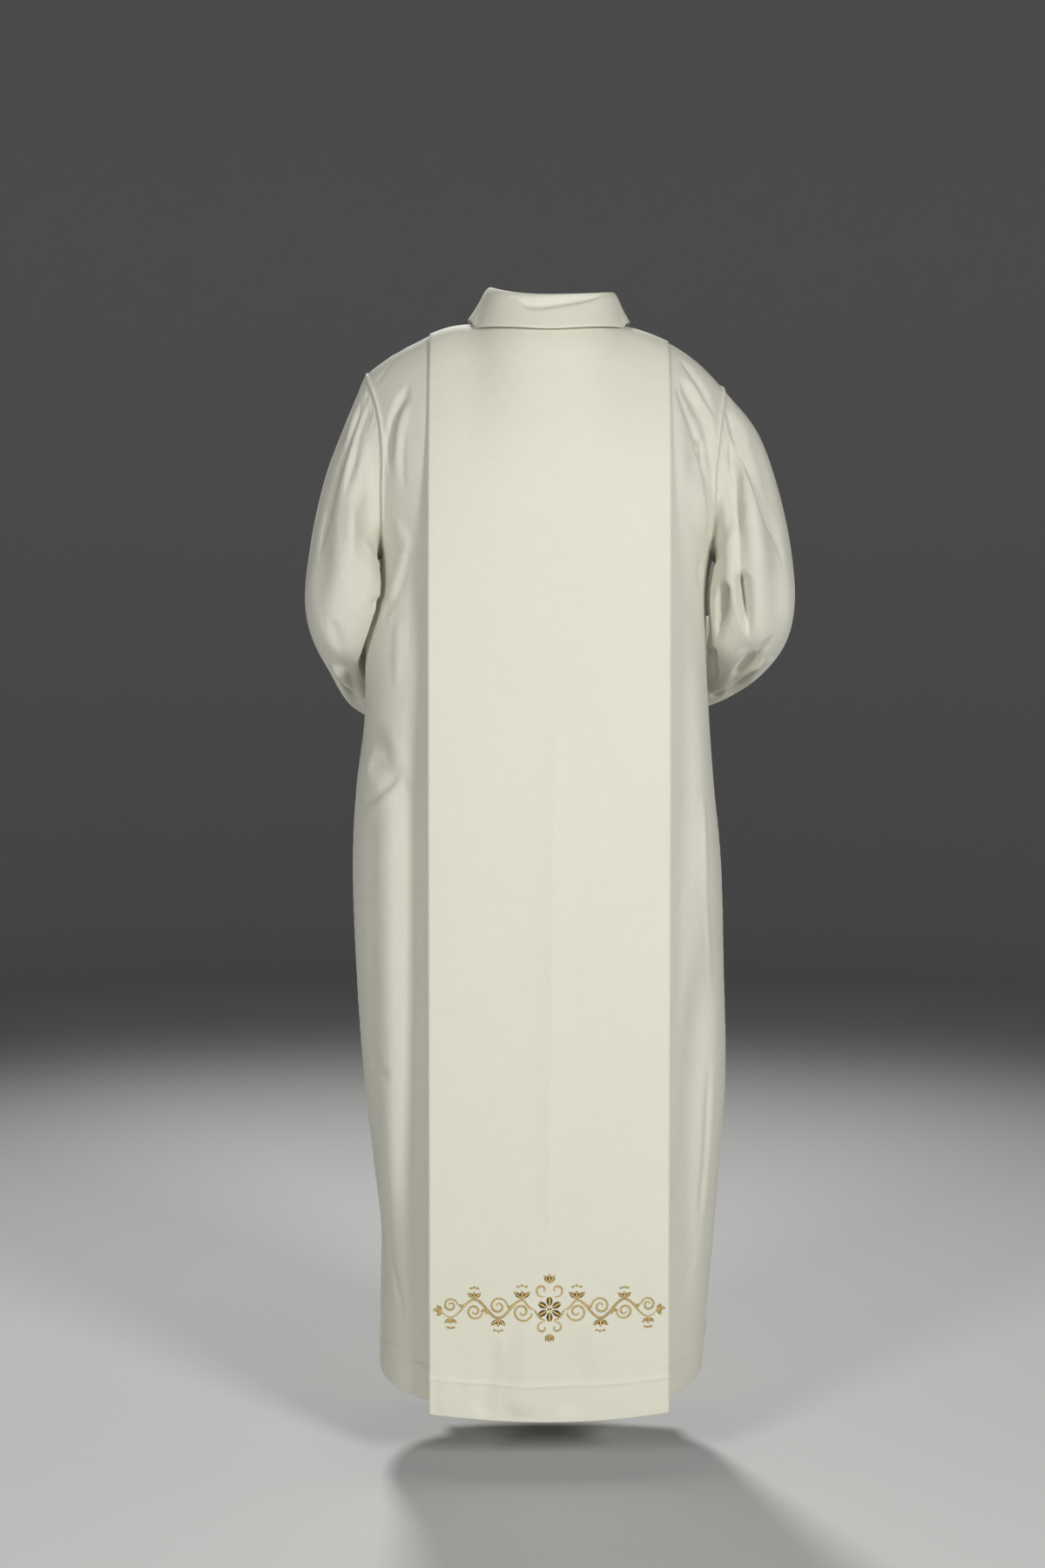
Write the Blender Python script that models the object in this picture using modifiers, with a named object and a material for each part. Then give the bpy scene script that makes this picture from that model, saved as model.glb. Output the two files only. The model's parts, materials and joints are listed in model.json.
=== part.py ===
"""An ivory alb in the form it takes when it is worn: arms bent, hands brought together in front.

Eight cut pieces: the back and front of the robe, two wide set-in sleeves, a straight scapular panel over the
back and one over the front, and a turned-down collar made of a stand and a leaf. The wearer faces -Y, +X is
the wearer's left side and +Z is up. The origin is the middle of the neck, where the shoulders carry the robe.
"""

import functools
import math
from collections import namedtuple

import bmesh
import bpy
import numpy as np
from mathutils import Vector

# Driving sizes in metres. A height is measured from the ground on which the wearer stands.
NECK_HEIGHT = 1.500
ARMPIT_HEIGHT = 1.200
WALL = 0.0015
HEM_LAYERS = 2
BODY_HEM = 0.045
CUFF_HEM = 0.030
HEM_STEP = 0.002
SEAM_GAP = 0.0003
SEAM_STRIP = 0.003
ARMHOLE_GAP = 0.0005

NECK_HALF_WIDTH = 0.088
NECK_BACK = 0.0735
NECK_FRONT = 0.087
NECK_BACK_HEIGHT = 1.495
NECK_SIDE_HEIGHT = 1.502
NECK_FRONT_HEIGHT = 1.440
NECK_DIP = 1.5
NECK_COLUMN_REACH = 0.118

SIDE_HEM_HEIGHT = 0.120
BACK_HEM_DROP = 0.033
FRONT_HEM_DROP = 0.020

SLIT_LENGTH = 0.200
SLIT_GAP = 0.0008
POCKET_TOP = 1.045
POCKET_BOTTOM = 0.885
POCKET_GAP = 0.003

SCAPULAR_HALF_WIDTH = 0.157
SCAPULAR_CLEARANCE = 0.0016
SCAPULAR_SWING = 0.004
HANG_BELOW = 1.100
REST_ABOVE = 1.400
LEFT_EDGE_DROP = 0.008
RIGHT_EDGE_DROP = 0.017
EDGE_DROP_POWER = 2.2
EDGE_COLUMN = 0.008
SCAPULAR_BACK_HEM = 0.074
SCAPULAR_FRONT_HEM = 0.088
SCAPULAR_CORNER_RISE = 0.008

SLEEVE_CLEARANCE = 0.010
SLEEVE_CLEAR_ROWS = 4
SLEEVE_CLEAR_TOP = 1.330
SLEEVE_HEAD_WAY = (0.5, 0.0, -1.0)
ARMPIT_WAY = (1.0, 0.0, -0.3)

COLLAR_END = 0.6
FOLD_GAP = 0.0013
STAND_INSET = 0.0006

COLLAR_DIP = 1.5
STAND_ROWS = 3
LEAF_SIDE_REACH = 0.107
LEAF_BACK_REACH = 0.094
LEAF_FRONT_REACH = 0.122
LEAF_LIFT = 0.005
LEAF_BACK_LIFT = 0.0035
LEAF_SPREAD = 20

# Roundness of the body's rings, and of the shoulders where each panel turns over to its seam.
RING_POWER = 2.5
SHOULDER_POWER = 2.0
ARMHOLE_CUT = 0.35
ARMHOLE_POWER = 0.5
GATHER_START = 0.25

# How finely each piece is cut into faces.
NECK_COLUMNS = 5
SHOULDER_COLUMNS = 6
SKIRT_ROWS = 12
YOKE_ROWS = 9
COLLAR_COLUMNS = 8 * NECK_COLUMNS

# Two places closer than this are the same place.
ROUNDING = 1e-6

IVORY = (0.80, 0.78, 0.66, 1.0)
CLOTH_ROUGHNESS = 0.75

# The robe's rings: half widths to the wearer's left and right, depth behind and in front of the side seams.
BodySection = namedtuple("BodySection", "height left right back front")
BODY_SECTIONS = (
    BodySection(0.080, 0.227, 0.204, 0.147, 0.160),
    BodySection(0.220, 0.226, 0.216, 0.147, 0.160),
    BodySection(0.300, 0.225, 0.223, 0.147, 0.160),
    BodySection(0.365, 0.232, 0.228, 0.146, 0.159),
    BodySection(0.500, 0.247, 0.237, 0.145, 0.158),
    BodySection(0.650, 0.257, 0.234, 0.144, 0.157),
    BodySection(0.800, 0.261, 0.229, 0.143, 0.156),
    BodySection(0.900, 0.255, 0.219, 0.140, 0.156),
    BodySection(0.977, 0.245, 0.213, 0.134, 0.154),
    BodySection(1.100, 0.241, 0.208, 0.129, 0.151),
    BodySection(1.200, 0.222, 0.214, 0.132, 0.150),
    BodySection(1.300, 0.240, 0.240, 0.137, 0.147),
    BodySection(1.360, 0.248, 0.254, 0.137, 0.138),
    BodySection(1.440, 0.256, 0.258, 0.130, 0.125),
)

# The shoulder seams, from the neck outwards.
SeamPoint = namedtuple("SeamPoint", "across height")
SHOULDER_SEAM = {
    "left": (
        SeamPoint(0.088, 1.502),
        SeamPoint(0.127, 1.499),
        SeamPoint(0.168, 1.481),
        SeamPoint(0.209, 1.459),
        SeamPoint(0.242, 1.436),
    ),
    "right": (
        SeamPoint(0.088, 1.502),
        SeamPoint(0.127, 1.490),
        SeamPoint(0.156, 1.476),
        SeamPoint(0.187, 1.455),
        SeamPoint(0.227, 1.419),
    ),
}

# Long soft folds of the robe: each runs from a top to a bottom point, out for a ridge and in for a hollow.
Fold = namedtuple("Fold", "panel top_across top_height bottom_across bottom_height half_width depth")
BODY_FOLDS = (
    Fold("back", 0.176, 1.060, 0.178, 0.190, 0.030, -0.010),
    Fold("back", 0.212, 1.000, 0.206, 0.240, 0.028, 0.005),
    Fold("back", 0.240, 0.985, 0.195, 0.880, 0.030, -0.007),
    Fold("back", -0.186, 1.120, -0.213, 0.700, 0.028, 0.006),
    Fold("back", -0.208, 0.720, -0.160, 0.160, 0.032, -0.009),
    Fold("back", -0.188, 1.430, -0.196, 1.270, 0.024, -0.006),
    Fold("front", 0.182, 1.080, 0.188, 0.150, 0.032, -0.011),
    Fold("front", 0.214, 0.960, 0.208, 0.200, 0.026, 0.006),
    Fold("front", -0.178, 1.060, -0.184, 0.180, 0.032, -0.010),
    Fold("front", -0.206, 0.880, -0.190, 0.150, 0.026, 0.006),
    Fold("front", 0.170, 1.420, 0.150, 1.200, 0.030, -0.006),
    Fold("front", -0.172, 1.410, -0.148, 1.180, 0.030, -0.006),
)
FOLD_FADE = 0.25
SIDE_CALM = 0.05

# The sleeves' sections below the armhole: the outer and the inner edge, and how far the cloth stands off
# the line between them behind or under the arm, and before or over it.
SLEEVE_COLUMNS = "outer_x outer_y outer_height inner_x inner_y inner_height under over"
SleeveSection = namedtuple("SleeveSection", SLEEVE_COLUMNS)
SLEEVE_SECTIONS = {
    "left": (
        SleeveSection(0.272, 0.000, 1.367, 0.220, 0.000, 1.188, 0.074, 0.072),
        SleeveSection(0.297, 0.000, 1.300, 0.212, 0.000, 1.168, 0.090, 0.080),
        SleeveSection(0.316, 0.002, 1.215, 0.204, 0.000, 1.128, 0.094, 0.078),
        SleeveSection(0.321, 0.002, 1.140, 0.222, -0.004, 1.088, 0.074, 0.062),
        SleeveSection(0.303, -0.040, 1.078, 0.238, -0.045, 1.072, 0.046, 0.045),
        SleeveSection(0.270, -0.172, 1.058, 0.203, -0.124, 1.054, 0.080, 0.058),
        SleeveSection(0.158, -0.280, 1.035, 0.093, -0.228, 1.035, 0.102, 0.060),
    ),
    "right": (
        SleeveSection(0.273, 0.000, 1.367, 0.216, 0.000, 1.188, 0.074, 0.072),
        SleeveSection(0.300, 0.000, 1.300, 0.208, 0.000, 1.168, 0.088, 0.080),
        SleeveSection(0.320, 0.002, 1.215, 0.200, 0.000, 1.128, 0.090, 0.076),
        SleeveSection(0.325, 0.002, 1.140, 0.206, -0.004, 1.092, 0.066, 0.060),
        SleeveSection(0.312, -0.040, 1.086, 0.214, -0.045, 1.080, 0.046, 0.045),
        SleeveSection(0.268, -0.172, 1.066, 0.200, -0.124, 1.062, 0.062, 0.056),
        SleeveSection(0.156, -0.280, 1.047, 0.091, -0.228, 1.047, 0.092, 0.060),
    ),
}
SLEEVE_STEPS = (3, 2, 2, 2, 2, 3, 4)

# Folds that run down a sleeve: place round the arm in degrees, 0 outside, 90 behind or under, 180 inside.
SleeveFold = namedtuple("SleeveFold", "side start_turn end_turn start_row end_row half_turn depth")
SLEEVE_FOLDS = (
    SleeveFold("left", 30, 60, 2, 9, 26, -0.005),
    SleeveFold("left", 78, 96, 1, 7, 24, 0.005),
    SleeveFold("left", 108, 84, 9, 15, 26, -0.006),
    SleeveFold("right", 36, 66, 2, 10, 26, -0.005),
    SleeveFold("right", 84, 70, 2, 8, 24, 0.006),
    SleeveFold("right", 112, 88, 8, 14, 28, -0.008),
    SleeveFold("left", 290, 300, 3, 12, 30, -0.006),
    SleeveFold("right", 288, 302, 3, 12, 30, -0.006),
)

# The collar's fold line: its reach from the middle of the neck, and its height.
FoldPoint = namedtuple("FoldPoint", "reach height")
COLLAR_LEFT = FoldPoint(0.077, 1.552)
COLLAR_RIGHT = FoldPoint(0.084, 1.545)
COLLAR_BACK = FoldPoint(0.066, 1.5365)
COLLAR_FRONT = FoldPoint(0.079, 1.487)

# The collar leaf from its fold line to its lower edge, in shares of the way out and of the way down.
LeafRow = namedtuple("LeafRow", "out down")
LEAF_ROWS = (
    LeafRow(-0.06, 0.000),
    LeafRow(0.10, 0.012),
    LeafRow(0.30, 0.160),
    LeafRow(0.58, 0.520),
    LeafRow(1.00, 1.000),
)


def through(knots, values, at):
    """A smooth curve through values at rising knots, read at each place in at."""
    knots = np.asarray(knots, float)
    values = np.asarray(values, float)
    at = np.clip(np.asarray(at, float), knots[0], knots[-1])
    chords = np.diff(values, axis=0) / np.diff(knots).reshape((-1,) + (1,) * (values.ndim - 1))
    slopes = np.concatenate([chords[:1], (chords[1:] + chords[:-1]) / 2, chords[-1:]])
    first = np.clip(np.searchsorted(knots, at, side="right") - 1, 0, len(knots) - 2)
    span = knots[first + 1] - knots[first]
    t = (at - knots[first]) / span
    shape = t.shape + (1,) * (values.ndim - 1)
    t = t.reshape(shape)
    span = span.reshape(shape)
    return (
        values[first] * (1 + 2 * t) * (1 - t) ** 2
        + slopes[first] * span * t * (1 - t) ** 2
        + values[first + 1] * t**2 * (3 - 2 * t)
        - slopes[first + 1] * span * t**2 * (1 - t)
    )


def smooth_step(value):
    """0 below 0, 1 above 1, and a soft rise between."""
    value = np.clip(value, 0.0, 1.0)
    return value * value * (3 - 2 * value)


def bump(distance):
    """1 at distance 0, falling softly to 0 at distance 1."""
    return 0.5 + 0.5 * np.cos(np.pi * np.clip(np.abs(distance), 0.0, 1.0))


def section_column(name, height):
    """One measure of the robe's rings, read at a height."""
    heights = [section.height for section in BODY_SECTIONS]
    return through(heights, [getattr(section, name) for section in BODY_SECTIONS], height)


def half_width(across, height):
    """The robe's half width at a height, on the side where across points."""
    return np.where(across >= 0, section_column("left", height), section_column("right", height))


def neck_line(turns, inset=0.0):
    """Points of the neck seam. The turn is 0 at the middle front, 90 at the left and 180 at the middle back."""
    turn = np.radians(turns)
    ahead, behind = front_and_back(turn)
    height = (
        NECK_SIDE_HEIGHT
        + (NECK_BACK_HEIGHT - NECK_SIDE_HEIGHT) * behind
        + (NECK_FRONT_HEIGHT - NECK_SIDE_HEIGHT) * ahead**NECK_DIP
    )
    y = (NECK_BACK - inset) * behind - (NECK_FRONT - inset) * ahead
    return np.stack([(NECK_HALF_WIDTH - inset) * np.sin(turn), y, height], axis=-1)


def panel_columns():
    """Places across a panel from its right seam at -1 to its left one at 1, with a narrow strip at each seam.

    The columns inside the neck's share of the panel keep equal turns round the neck seam.
    """
    neck = np.linspace(0, 1, NECK_COLUMNS + 1) * neck_share()
    shoulder = np.linspace(neck_share(), 1, SHOULDER_COLUMNS + 1)[1:]
    strip = 1 - seam_share(section_column("back", ARMPIT_HEIGHT), 2 / RING_POWER)
    half = np.concatenate([neck, shoulder[:-1], [strip, 1.0]])
    return np.concatenate([-half[:0:-1], half])


def neck_share():
    """The share of a panel's half that ends at the neck: its columns draw in towards it from below."""
    reach = (NECK_COLUMN_REACH / section_column("left", ARMPIT_HEIGHT)) ** (RING_POWER / 2)
    return math.asin(float(reach)) / (math.pi / 2)


def seam_share(depth, power):
    """The share of a quarter turn whose end strip, next to a seam, is SEAM_STRIP wide."""
    return float((SEAM_STRIP / depth) ** (1 / power) / (math.pi / 2))


def top_edge(panel, columns):
    """The upper edge of a panel: shoulder seam, neck seam, shoulder seam."""
    share = neck_share()
    edge = np.empty((len(columns), 3))
    for index, column in enumerate(columns):
        reach = abs(column)
        if reach < share - ROUNDING:
            turn = 90 * reach / share
            edge[index] = neck_line(turn if panel == "front" else 180 - turn)
        else:
            seam = SHOULDER_SEAM["left" if column > 0 else "right"]
            across = seam[0].across + (seam[-1].across - seam[0].across) * (reach - share) / (1 - share)
            places = [point.across for point in seam]
            height = through(places, [point.height for point in seam], across)
            edge[index] = (across, panel_sign(panel) * SEAM_GAP, height)
    edge[:, 0] *= np.sign(columns)
    return edge


def panel_sign(panel):
    """The back lies towards +Y and the front towards -Y."""
    return 1 if panel == "back" else -1


def ring_point(panel, columns, height, cut=1.0):
    """Where each column meets the robe's ring at a height. A cut under 1 stops short of the side seam."""
    turn = np.abs(columns) * cut * np.pi / 2
    power = 2 / RING_POWER
    across = np.sign(columns) * np.sin(turn) ** power * half_width(columns, height)
    depth = np.clip(np.cos(turn), 0, 1) ** power * section_column(panel, height)
    return across, panel_sign(panel) * depth


def hem_height(panel, columns):
    """The hem lies lowest at the middle of each panel."""
    drop = BACK_HEM_DROP if panel == "back" else FRONT_HEM_DROP
    return SIDE_HEM_HEIGHT - drop * np.clip(np.cos(columns * np.pi / 2), 0, 1) ** (2 / RING_POWER)


def pocket_opening(height):
    """How far the side seam is open at a height: a narrow slit for the hand."""
    middle = (POCKET_TOP + POCKET_BOTTOM) / 2
    return (POCKET_GAP - SEAM_GAP) / 2 * bump((height - middle) / (POCKET_TOP - middle))


def fold_fade(along):
    """How much of a fold shows at a share of its length: it rises and dies away softly at its ends."""
    return smooth_step(along / FOLD_FADE) * smooth_step((1 - along) / FOLD_FADE)


def with_folds(panel, points):
    """The points moved in and out by the folds of that panel."""
    moved = np.zeros(points.shape[:2])
    x, y, height = points[..., 0], points[..., 1], points[..., 2]
    for fold in BODY_FOLDS:
        if fold.panel != panel:
            continue
        along = (fold.top_height - height) / (fold.top_height - fold.bottom_height)
        centre = fold.top_across + (fold.bottom_across - fold.top_across) * np.clip(along, 0, 1)
        moved += fold.depth * fold_fade(along) * bump((x - centre) / fold.half_width)
    # A fold dies away towards the side seam, where the two panels stay together.
    moved *= smooth_step(np.abs(y) / SIDE_CALM)
    width = section_column("left", height)
    depth = section_column(panel, height)
    outward = np.stack([x / width**2, y / depth**2], axis=-1)
    outward /= np.linalg.norm(outward, axis=-1, keepdims=True)
    folded = points.copy()
    folded[..., :2] += outward * moved[..., None]
    return folded


def skirt_rows(panel, columns):
    """The rows of a panel from its hem up to the armpits."""
    hem = hem_height(panel, columns)
    start = hem + BODY_HEM + HEM_STEP
    heights = [hem, hem + BODY_HEM]
    heights += [start + (ARMPIT_HEIGHT - start) * share for share in np.linspace(0, 1, SKIRT_ROWS + 1)]
    rows = []
    for height in heights:
        across, depth = ring_point(panel, columns, height)
        seam = panel_sign(panel) * (SEAM_GAP / 2 + pocket_opening(height))
        depth = np.where(np.abs(columns) == 1, seam, depth)
        rows.append(np.stack([across, depth, height], axis=-1))
    return rows


def yoke_rows(panel, columns):
    """The rows of a panel from the armpits up: they draw in to the neck and turn over to the seams."""
    top = top_edge(panel, columns)
    power = 2 / SHOULDER_POWER
    strip = seam_share(section_column(panel, ARMPIT_HEIGHT), power)
    rows = []
    for share in np.append(np.linspace(0, 1, YOKE_ROWS + 1)[1:-1], [1 - strip, 1.0]):
        rise = math.sin(share * math.pi / 2) ** power
        lean = max(math.cos(share * math.pi / 2), 0.0) ** power
        gather = max((share - GATHER_START) / (1 - GATHER_START), 0.0) ** 2
        cut = 1 - ARMHOLE_CUT * max(math.sin(share * math.pi), 0.0) ** ARMHOLE_POWER
        height = ARMPIT_HEIGHT + (top[:, 2] - ARMPIT_HEIGHT) * rise
        across, depth = ring_point(panel, columns, height, cut)
        x = across + (top[:, 0] - across) * gather
        y = top[:, 1] + (depth - top[:, 1]) * lean
        rows.append(np.stack([x, y, height], axis=-1))
    return rows


@functools.lru_cache(maxsize=None)
def panel_surface(panel):
    """The outer face of the robe's back or front, as rows of points from the hem up to the shoulders."""
    columns = panel_columns()
    return with_folds(panel, np.array(skirt_rows(panel, columns) + yoke_rows(panel, columns)))


def scapular_columns(panel):
    """Places across the scapular in each row: over the robe's own columns, and at its two straight edges."""
    under = panel_surface(panel)[..., 0]
    inner = np.flatnonzero(np.abs(under[-1]) < SCAPULAR_HALF_WIDTH - EDGE_COLUMN)
    from_edge = 1 + np.minimum(inner - inner[0], inner[-1] - inner)
    limit = SCAPULAR_HALF_WIDTH - EDGE_COLUMN * from_edge
    inside = np.clip(under[:, inner], -limit, limit)
    edge = np.full((len(under), 1), SCAPULAR_HALF_WIDTH)
    return np.concatenate([-edge, inside, edge], axis=1)


@functools.lru_cache(maxsize=None)
def scapular_surface(panel):
    """The scapular's outer face: the panel below it moved out, hanging flatter than the robe does."""
    sign = panel_sign(panel)
    wanted = scapular_columns(panel)
    rows = []
    for places, row in zip(wanted, panel_surface(panel)):
        rows.append(np.stack([np.interp(places, row[:, 0], row[:, i]) for i in range(3)], axis=-1))
    surface = np.array(rows)
    hem = SCAPULAR_BACK_HEM if panel == "back" else SCAPULAR_FRONT_HEM
    hem = hem + SCAPULAR_CORNER_RISE * (wanted[0] / SCAPULAR_HALF_WIDTH) ** 2
    for row, rise in enumerate((0, BODY_HEM, BODY_HEM + HEM_STEP)):
        surface[row, :, 2] = hem + rise
    centre = wanted.shape[1] // 2
    middle = surface[:, centre : centre + 1, 1]
    drop = np.where(wanted > 0, LEFT_EDGE_DROP, RIGHT_EDGE_DROP)
    drop = drop * np.abs(wanted / SCAPULAR_HALF_WIDTH) ** EDGE_DROP_POWER
    hanging = 1 - smooth_step((surface[..., 2] - HANG_BELOW) / (REST_ABOVE - HANG_BELOW))
    stand_off = np.clip(sign * (middle - surface[..., 1]) - drop, 0, None) + SCAPULAR_SWING
    facing = normals_of(surface) * sign
    on_neck = np.abs(wanted[-1]) < NECK_HALF_WIDTH - SEAM_GAP
    facing[-2:, on_neck] = facing[-3, on_neck]
    surface += facing * (WALL + SCAPULAR_CLEARANCE)
    surface[..., 1] += sign * stand_off * hanging
    for column in (0, centre, -1):
        surface[:, column, 0] = wanted[:, column]
    surface[-1, ~on_neck, 1] = sign * SEAM_GAP
    return surface


def normals_of(surface):
    """Unit directions square to a surface given as rows of points."""
    across = np.gradient(surface, axis=1)
    upward = np.gradient(surface, axis=0)
    facing = np.cross(upward, across)
    return facing / np.linalg.norm(facing, axis=-1, keepdims=True)


def armhole(side):
    """The armhole from the shoulder down the back and up the front, and the way out of the panels there."""
    edge, inside = (-1, -2) if side == "left" else (0, 1)
    armpit_row = SKIRT_ROWS + 2
    seams, ways = [], []
    for panel in ("back", "front"):
        surface = panel_surface(panel)
        # The row just below the shoulder seam only makes that seam's strip, so the sleeve leaves it out.
        surface = np.concatenate([surface[armpit_row:-2], surface[-1:]])
        seams.append(surface[:, edge])
        ways.append(surface[:, edge] - surface[:, inside])
    seam = np.concatenate([seams[0][::-1], seams[1][1:-1]])
    outward = np.concatenate([ways[0][::-1], ways[1][1:-1]])
    for corner in (0, YOKE_ROWS):
        seam[corner, 1] = outward[corner, 1] = 0
    outward[YOKE_ROWS] = ARMPIT_WAY if side == "left" else np.array(ARMPIT_WAY) * (-1, 1, 1)
    return seam, outward / np.linalg.norm(outward, axis=-1, keepdims=True)


def sleeve_surface(side):
    """The sleeve's outer face, as rings of points from the armhole to the cuff."""
    sign = 1 if side == "left" else -1
    seam, outward = armhole(side)
    turns = np.arange(2 * YOKE_ROWS) * math.pi / YOKE_ROWS
    sections = np.array(SLEEVE_SECTIONS[side])
    outer, inner = sections[:, :3], sections[:, 3:6]
    middles = (outer + inner) / 2
    ways = np.gradient(middles, axis=0)
    ways[0] = SLEEVE_HEAD_WAY
    rings = [seam + outward * (ARMHOLE_GAP + SEAM_STRIP)]
    for reach, middle, way, (under, over) in zip((outer - inner) / 2, middles, ways, sections[:, 6:]):
        behind = np.cross(reach, way)
        behind /= np.linalg.norm(behind)
        size = np.where(np.sin(turns) > 0, under, over)
        ring = middle + reach * np.cos(turns)[:, None] + behind * (size * np.sin(turns))[:, None]
        rings.append(ring * (sign, 1, 1))
    places = [first + np.arange(steps) / steps for first, steps in enumerate(SLEEVE_STEPS)]
    tube = through(np.arange(len(rings)), np.array(rings), np.append(np.concatenate(places), len(rings) - 1))
    tube = clear_of_robe(sleeve_folds(side, tube))
    cuff_way = tube[-1] - tube[-2]
    cuff_way /= np.linalg.norm(cuff_way, axis=-1, keepdims=True)
    hem_top = tube[-1] - cuff_way * CUFF_HEM
    hem_step = hem_top - cuff_way * HEM_STEP
    start = seam + outward * ARMHOLE_GAP
    return np.concatenate([[start], tube[:-1], [hem_step, hem_top], tube[-1:]])


def clear_of_robe(tube):
    """The tube's points, those that would lie in the robe's body moved straight out to rest beside it."""
    x, y, height = tube[..., 0], tube[..., 1], tube[..., 2]
    width = half_width(x, height)
    depth = np.where(y > 0, section_column("back", height), section_column("front", height))
    rise = np.clip((height - ARMPIT_HEIGHT) / (NECK_HEIGHT - ARMPIT_HEIGHT), 0, 1)
    depth = depth * np.sqrt(1 - rise**2)
    reached = (np.abs(x / width) ** RING_POWER + np.abs(y / depth) ** RING_POWER) ** (1 / RING_POWER)
    rows = np.arange(len(tube))[:, None]
    wanted = 1 + SLEEVE_CLEARANCE / width * smooth_step(rows / SLEEVE_CLEAR_ROWS)
    grow = np.where(height < SLEEVE_CLEAR_TOP, np.maximum(wanted / reached, 1.0), 1.0)
    grow = np.where(rows == 0, 1.0, grow)
    return tube * np.stack([grow, grow, np.ones_like(grow)], axis=-1)


def sleeve_folds(side, tube):
    """The tube's rings moved in and out by that sleeve's folds."""
    rows = np.arange(len(tube))[:, None]
    turns = np.arange(tube.shape[1])[None, :] * 180 / YOKE_ROWS
    moved = np.zeros(tube.shape[:2])
    for fold in SLEEVE_FOLDS:
        if fold.side != side:
            continue
        along = (rows - fold.start_row) / (fold.end_row - fold.start_row)
        centre = fold.start_turn + (fold.end_turn - fold.start_turn) * np.clip(along, 0, 1)
        away = (turns - centre + 180) % 360 - 180
        moved += fold.depth * fold_fade(along) * bump(away / fold.half_turn)
    outward = tube - tube.mean(axis=1, keepdims=True)
    outward /= np.linalg.norm(outward, axis=-1, keepdims=True)
    return tube + outward * moved[..., None]


def front_and_back(turn):
    """How far a turn round the neck points ahead and behind, each from 0 to 1."""
    return np.clip(np.cos(turn), 0, 1), np.clip(-np.cos(turn), 0, 1)


def collar_fold(turns):
    """The line along which the collar turns down, higher and narrower on the wearer's left."""
    turn = np.radians(turns)
    ahead, behind = front_and_back(turn)
    left = smooth_step(0.5 + 0.5 * np.sin(turn))
    reach = COLLAR_RIGHT.reach + (COLLAR_LEFT.reach - COLLAR_RIGHT.reach) * left
    side_height = COLLAR_RIGHT.height + (COLLAR_LEFT.height - COLLAR_RIGHT.height) * left
    height = (
        side_height
        + (COLLAR_BACK.height - side_height) * behind**COLLAR_DIP
        + (COLLAR_FRONT.height - side_height) * ahead**COLLAR_DIP
    )
    y = COLLAR_BACK.reach * behind - COLLAR_FRONT.reach * ahead
    return np.stack([reach * np.sin(turn), y, height], axis=-1)


def collar_turns():
    """Turns round the collar, whose two ends stop just short of the middle front."""
    turns = np.linspace(0, 360, COLLAR_COLUMNS + 1)
    turns[0] += COLLAR_END
    turns[-1] -= COLLAR_END
    return turns


def stand_surface():
    """The band from the neck seam up to just below the collar's fold."""
    turns = collar_turns()
    seam_turns = np.linspace(0, 360, 4 * NECK_COLUMNS + 1)
    seam = neck_line(seam_turns, inset=STAND_INSET)
    base = np.stack([np.interp(turns, seam_turns, seam[:, i]) for i in range(3)], axis=-1)
    base[:, 2] -= WALL
    top = collar_fold(turns)
    top[:, 2] -= WALL + FOLD_GAP
    return np.array([base + (top - base) * share for share in np.linspace(0, 1, STAND_ROWS + 1)])


def cloth_height(x, y):
    """The height of the cloth on the shoulders at one place."""
    surface = scapular_surface("back" if y > 0 else "front")
    heights, depths = [], []
    for row in surface[-YOKE_ROWS:]:
        depths.append(np.interp(x, row[:, 0], np.abs(row[:, 1])))
        heights.append(np.interp(x, row[:, 0], row[:, 2]))
    return float(np.interp(abs(y), depths[::-1], heights[::-1]))


def leaf_edge(turns):
    """The leaf's lower edge, which rests on the cloth below it and ends in two points in front."""
    spread = LEAF_SPREAD * (1 - turns / 180)
    angle = np.radians(turns + spread)
    ahead, behind = front_and_back(angle)
    x = LEAF_SIDE_REACH * np.sin(angle)
    y = LEAF_BACK_REACH * behind - LEAF_FRONT_REACH * ahead
    height = np.array([cloth_height(*place) for place in zip(x, y)])
    return np.stack([x, y, height + WALL + LEAF_LIFT + LEAF_BACK_LIFT * behind], axis=-1)


def leaf_surface():
    """The part of the collar that turns down from the fold, clear of the cloth on the shoulders."""
    turns = collar_turns()
    fold = collar_fold(turns)
    edge = leaf_edge(turns)
    rows = []
    for row in LEAF_ROWS:
        line = fold + (edge - fold) * (row.out, row.out, row.down)
        resting = np.array([cloth_height(x, y) for x, y in line[:, :2]]) + WALL + LEAF_LIFT
        line[:, 2] = np.maximum(line[:, 2], resting)
        rows.append(line)
    return np.array(rows)


def placed(points):
    """The same points with their heights measured from the neck."""
    return points - (0, 0, NECK_HEIGHT)


def ivory_cloth(name):
    """Smooth ivory cloth with a soft, dull face."""
    material = bpy.data.materials.new(name)
    material.use_nodes = True
    shader = material.node_tree.nodes["Principled BSDF"]
    shader.inputs["Base Color"].default_value = IVORY
    shader.inputs["Roughness"].default_value = CLOTH_ROUGHNESS
    shader.inputs["Metallic"].default_value = 0.0
    material.diffuse_color = IVORY
    return material


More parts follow.
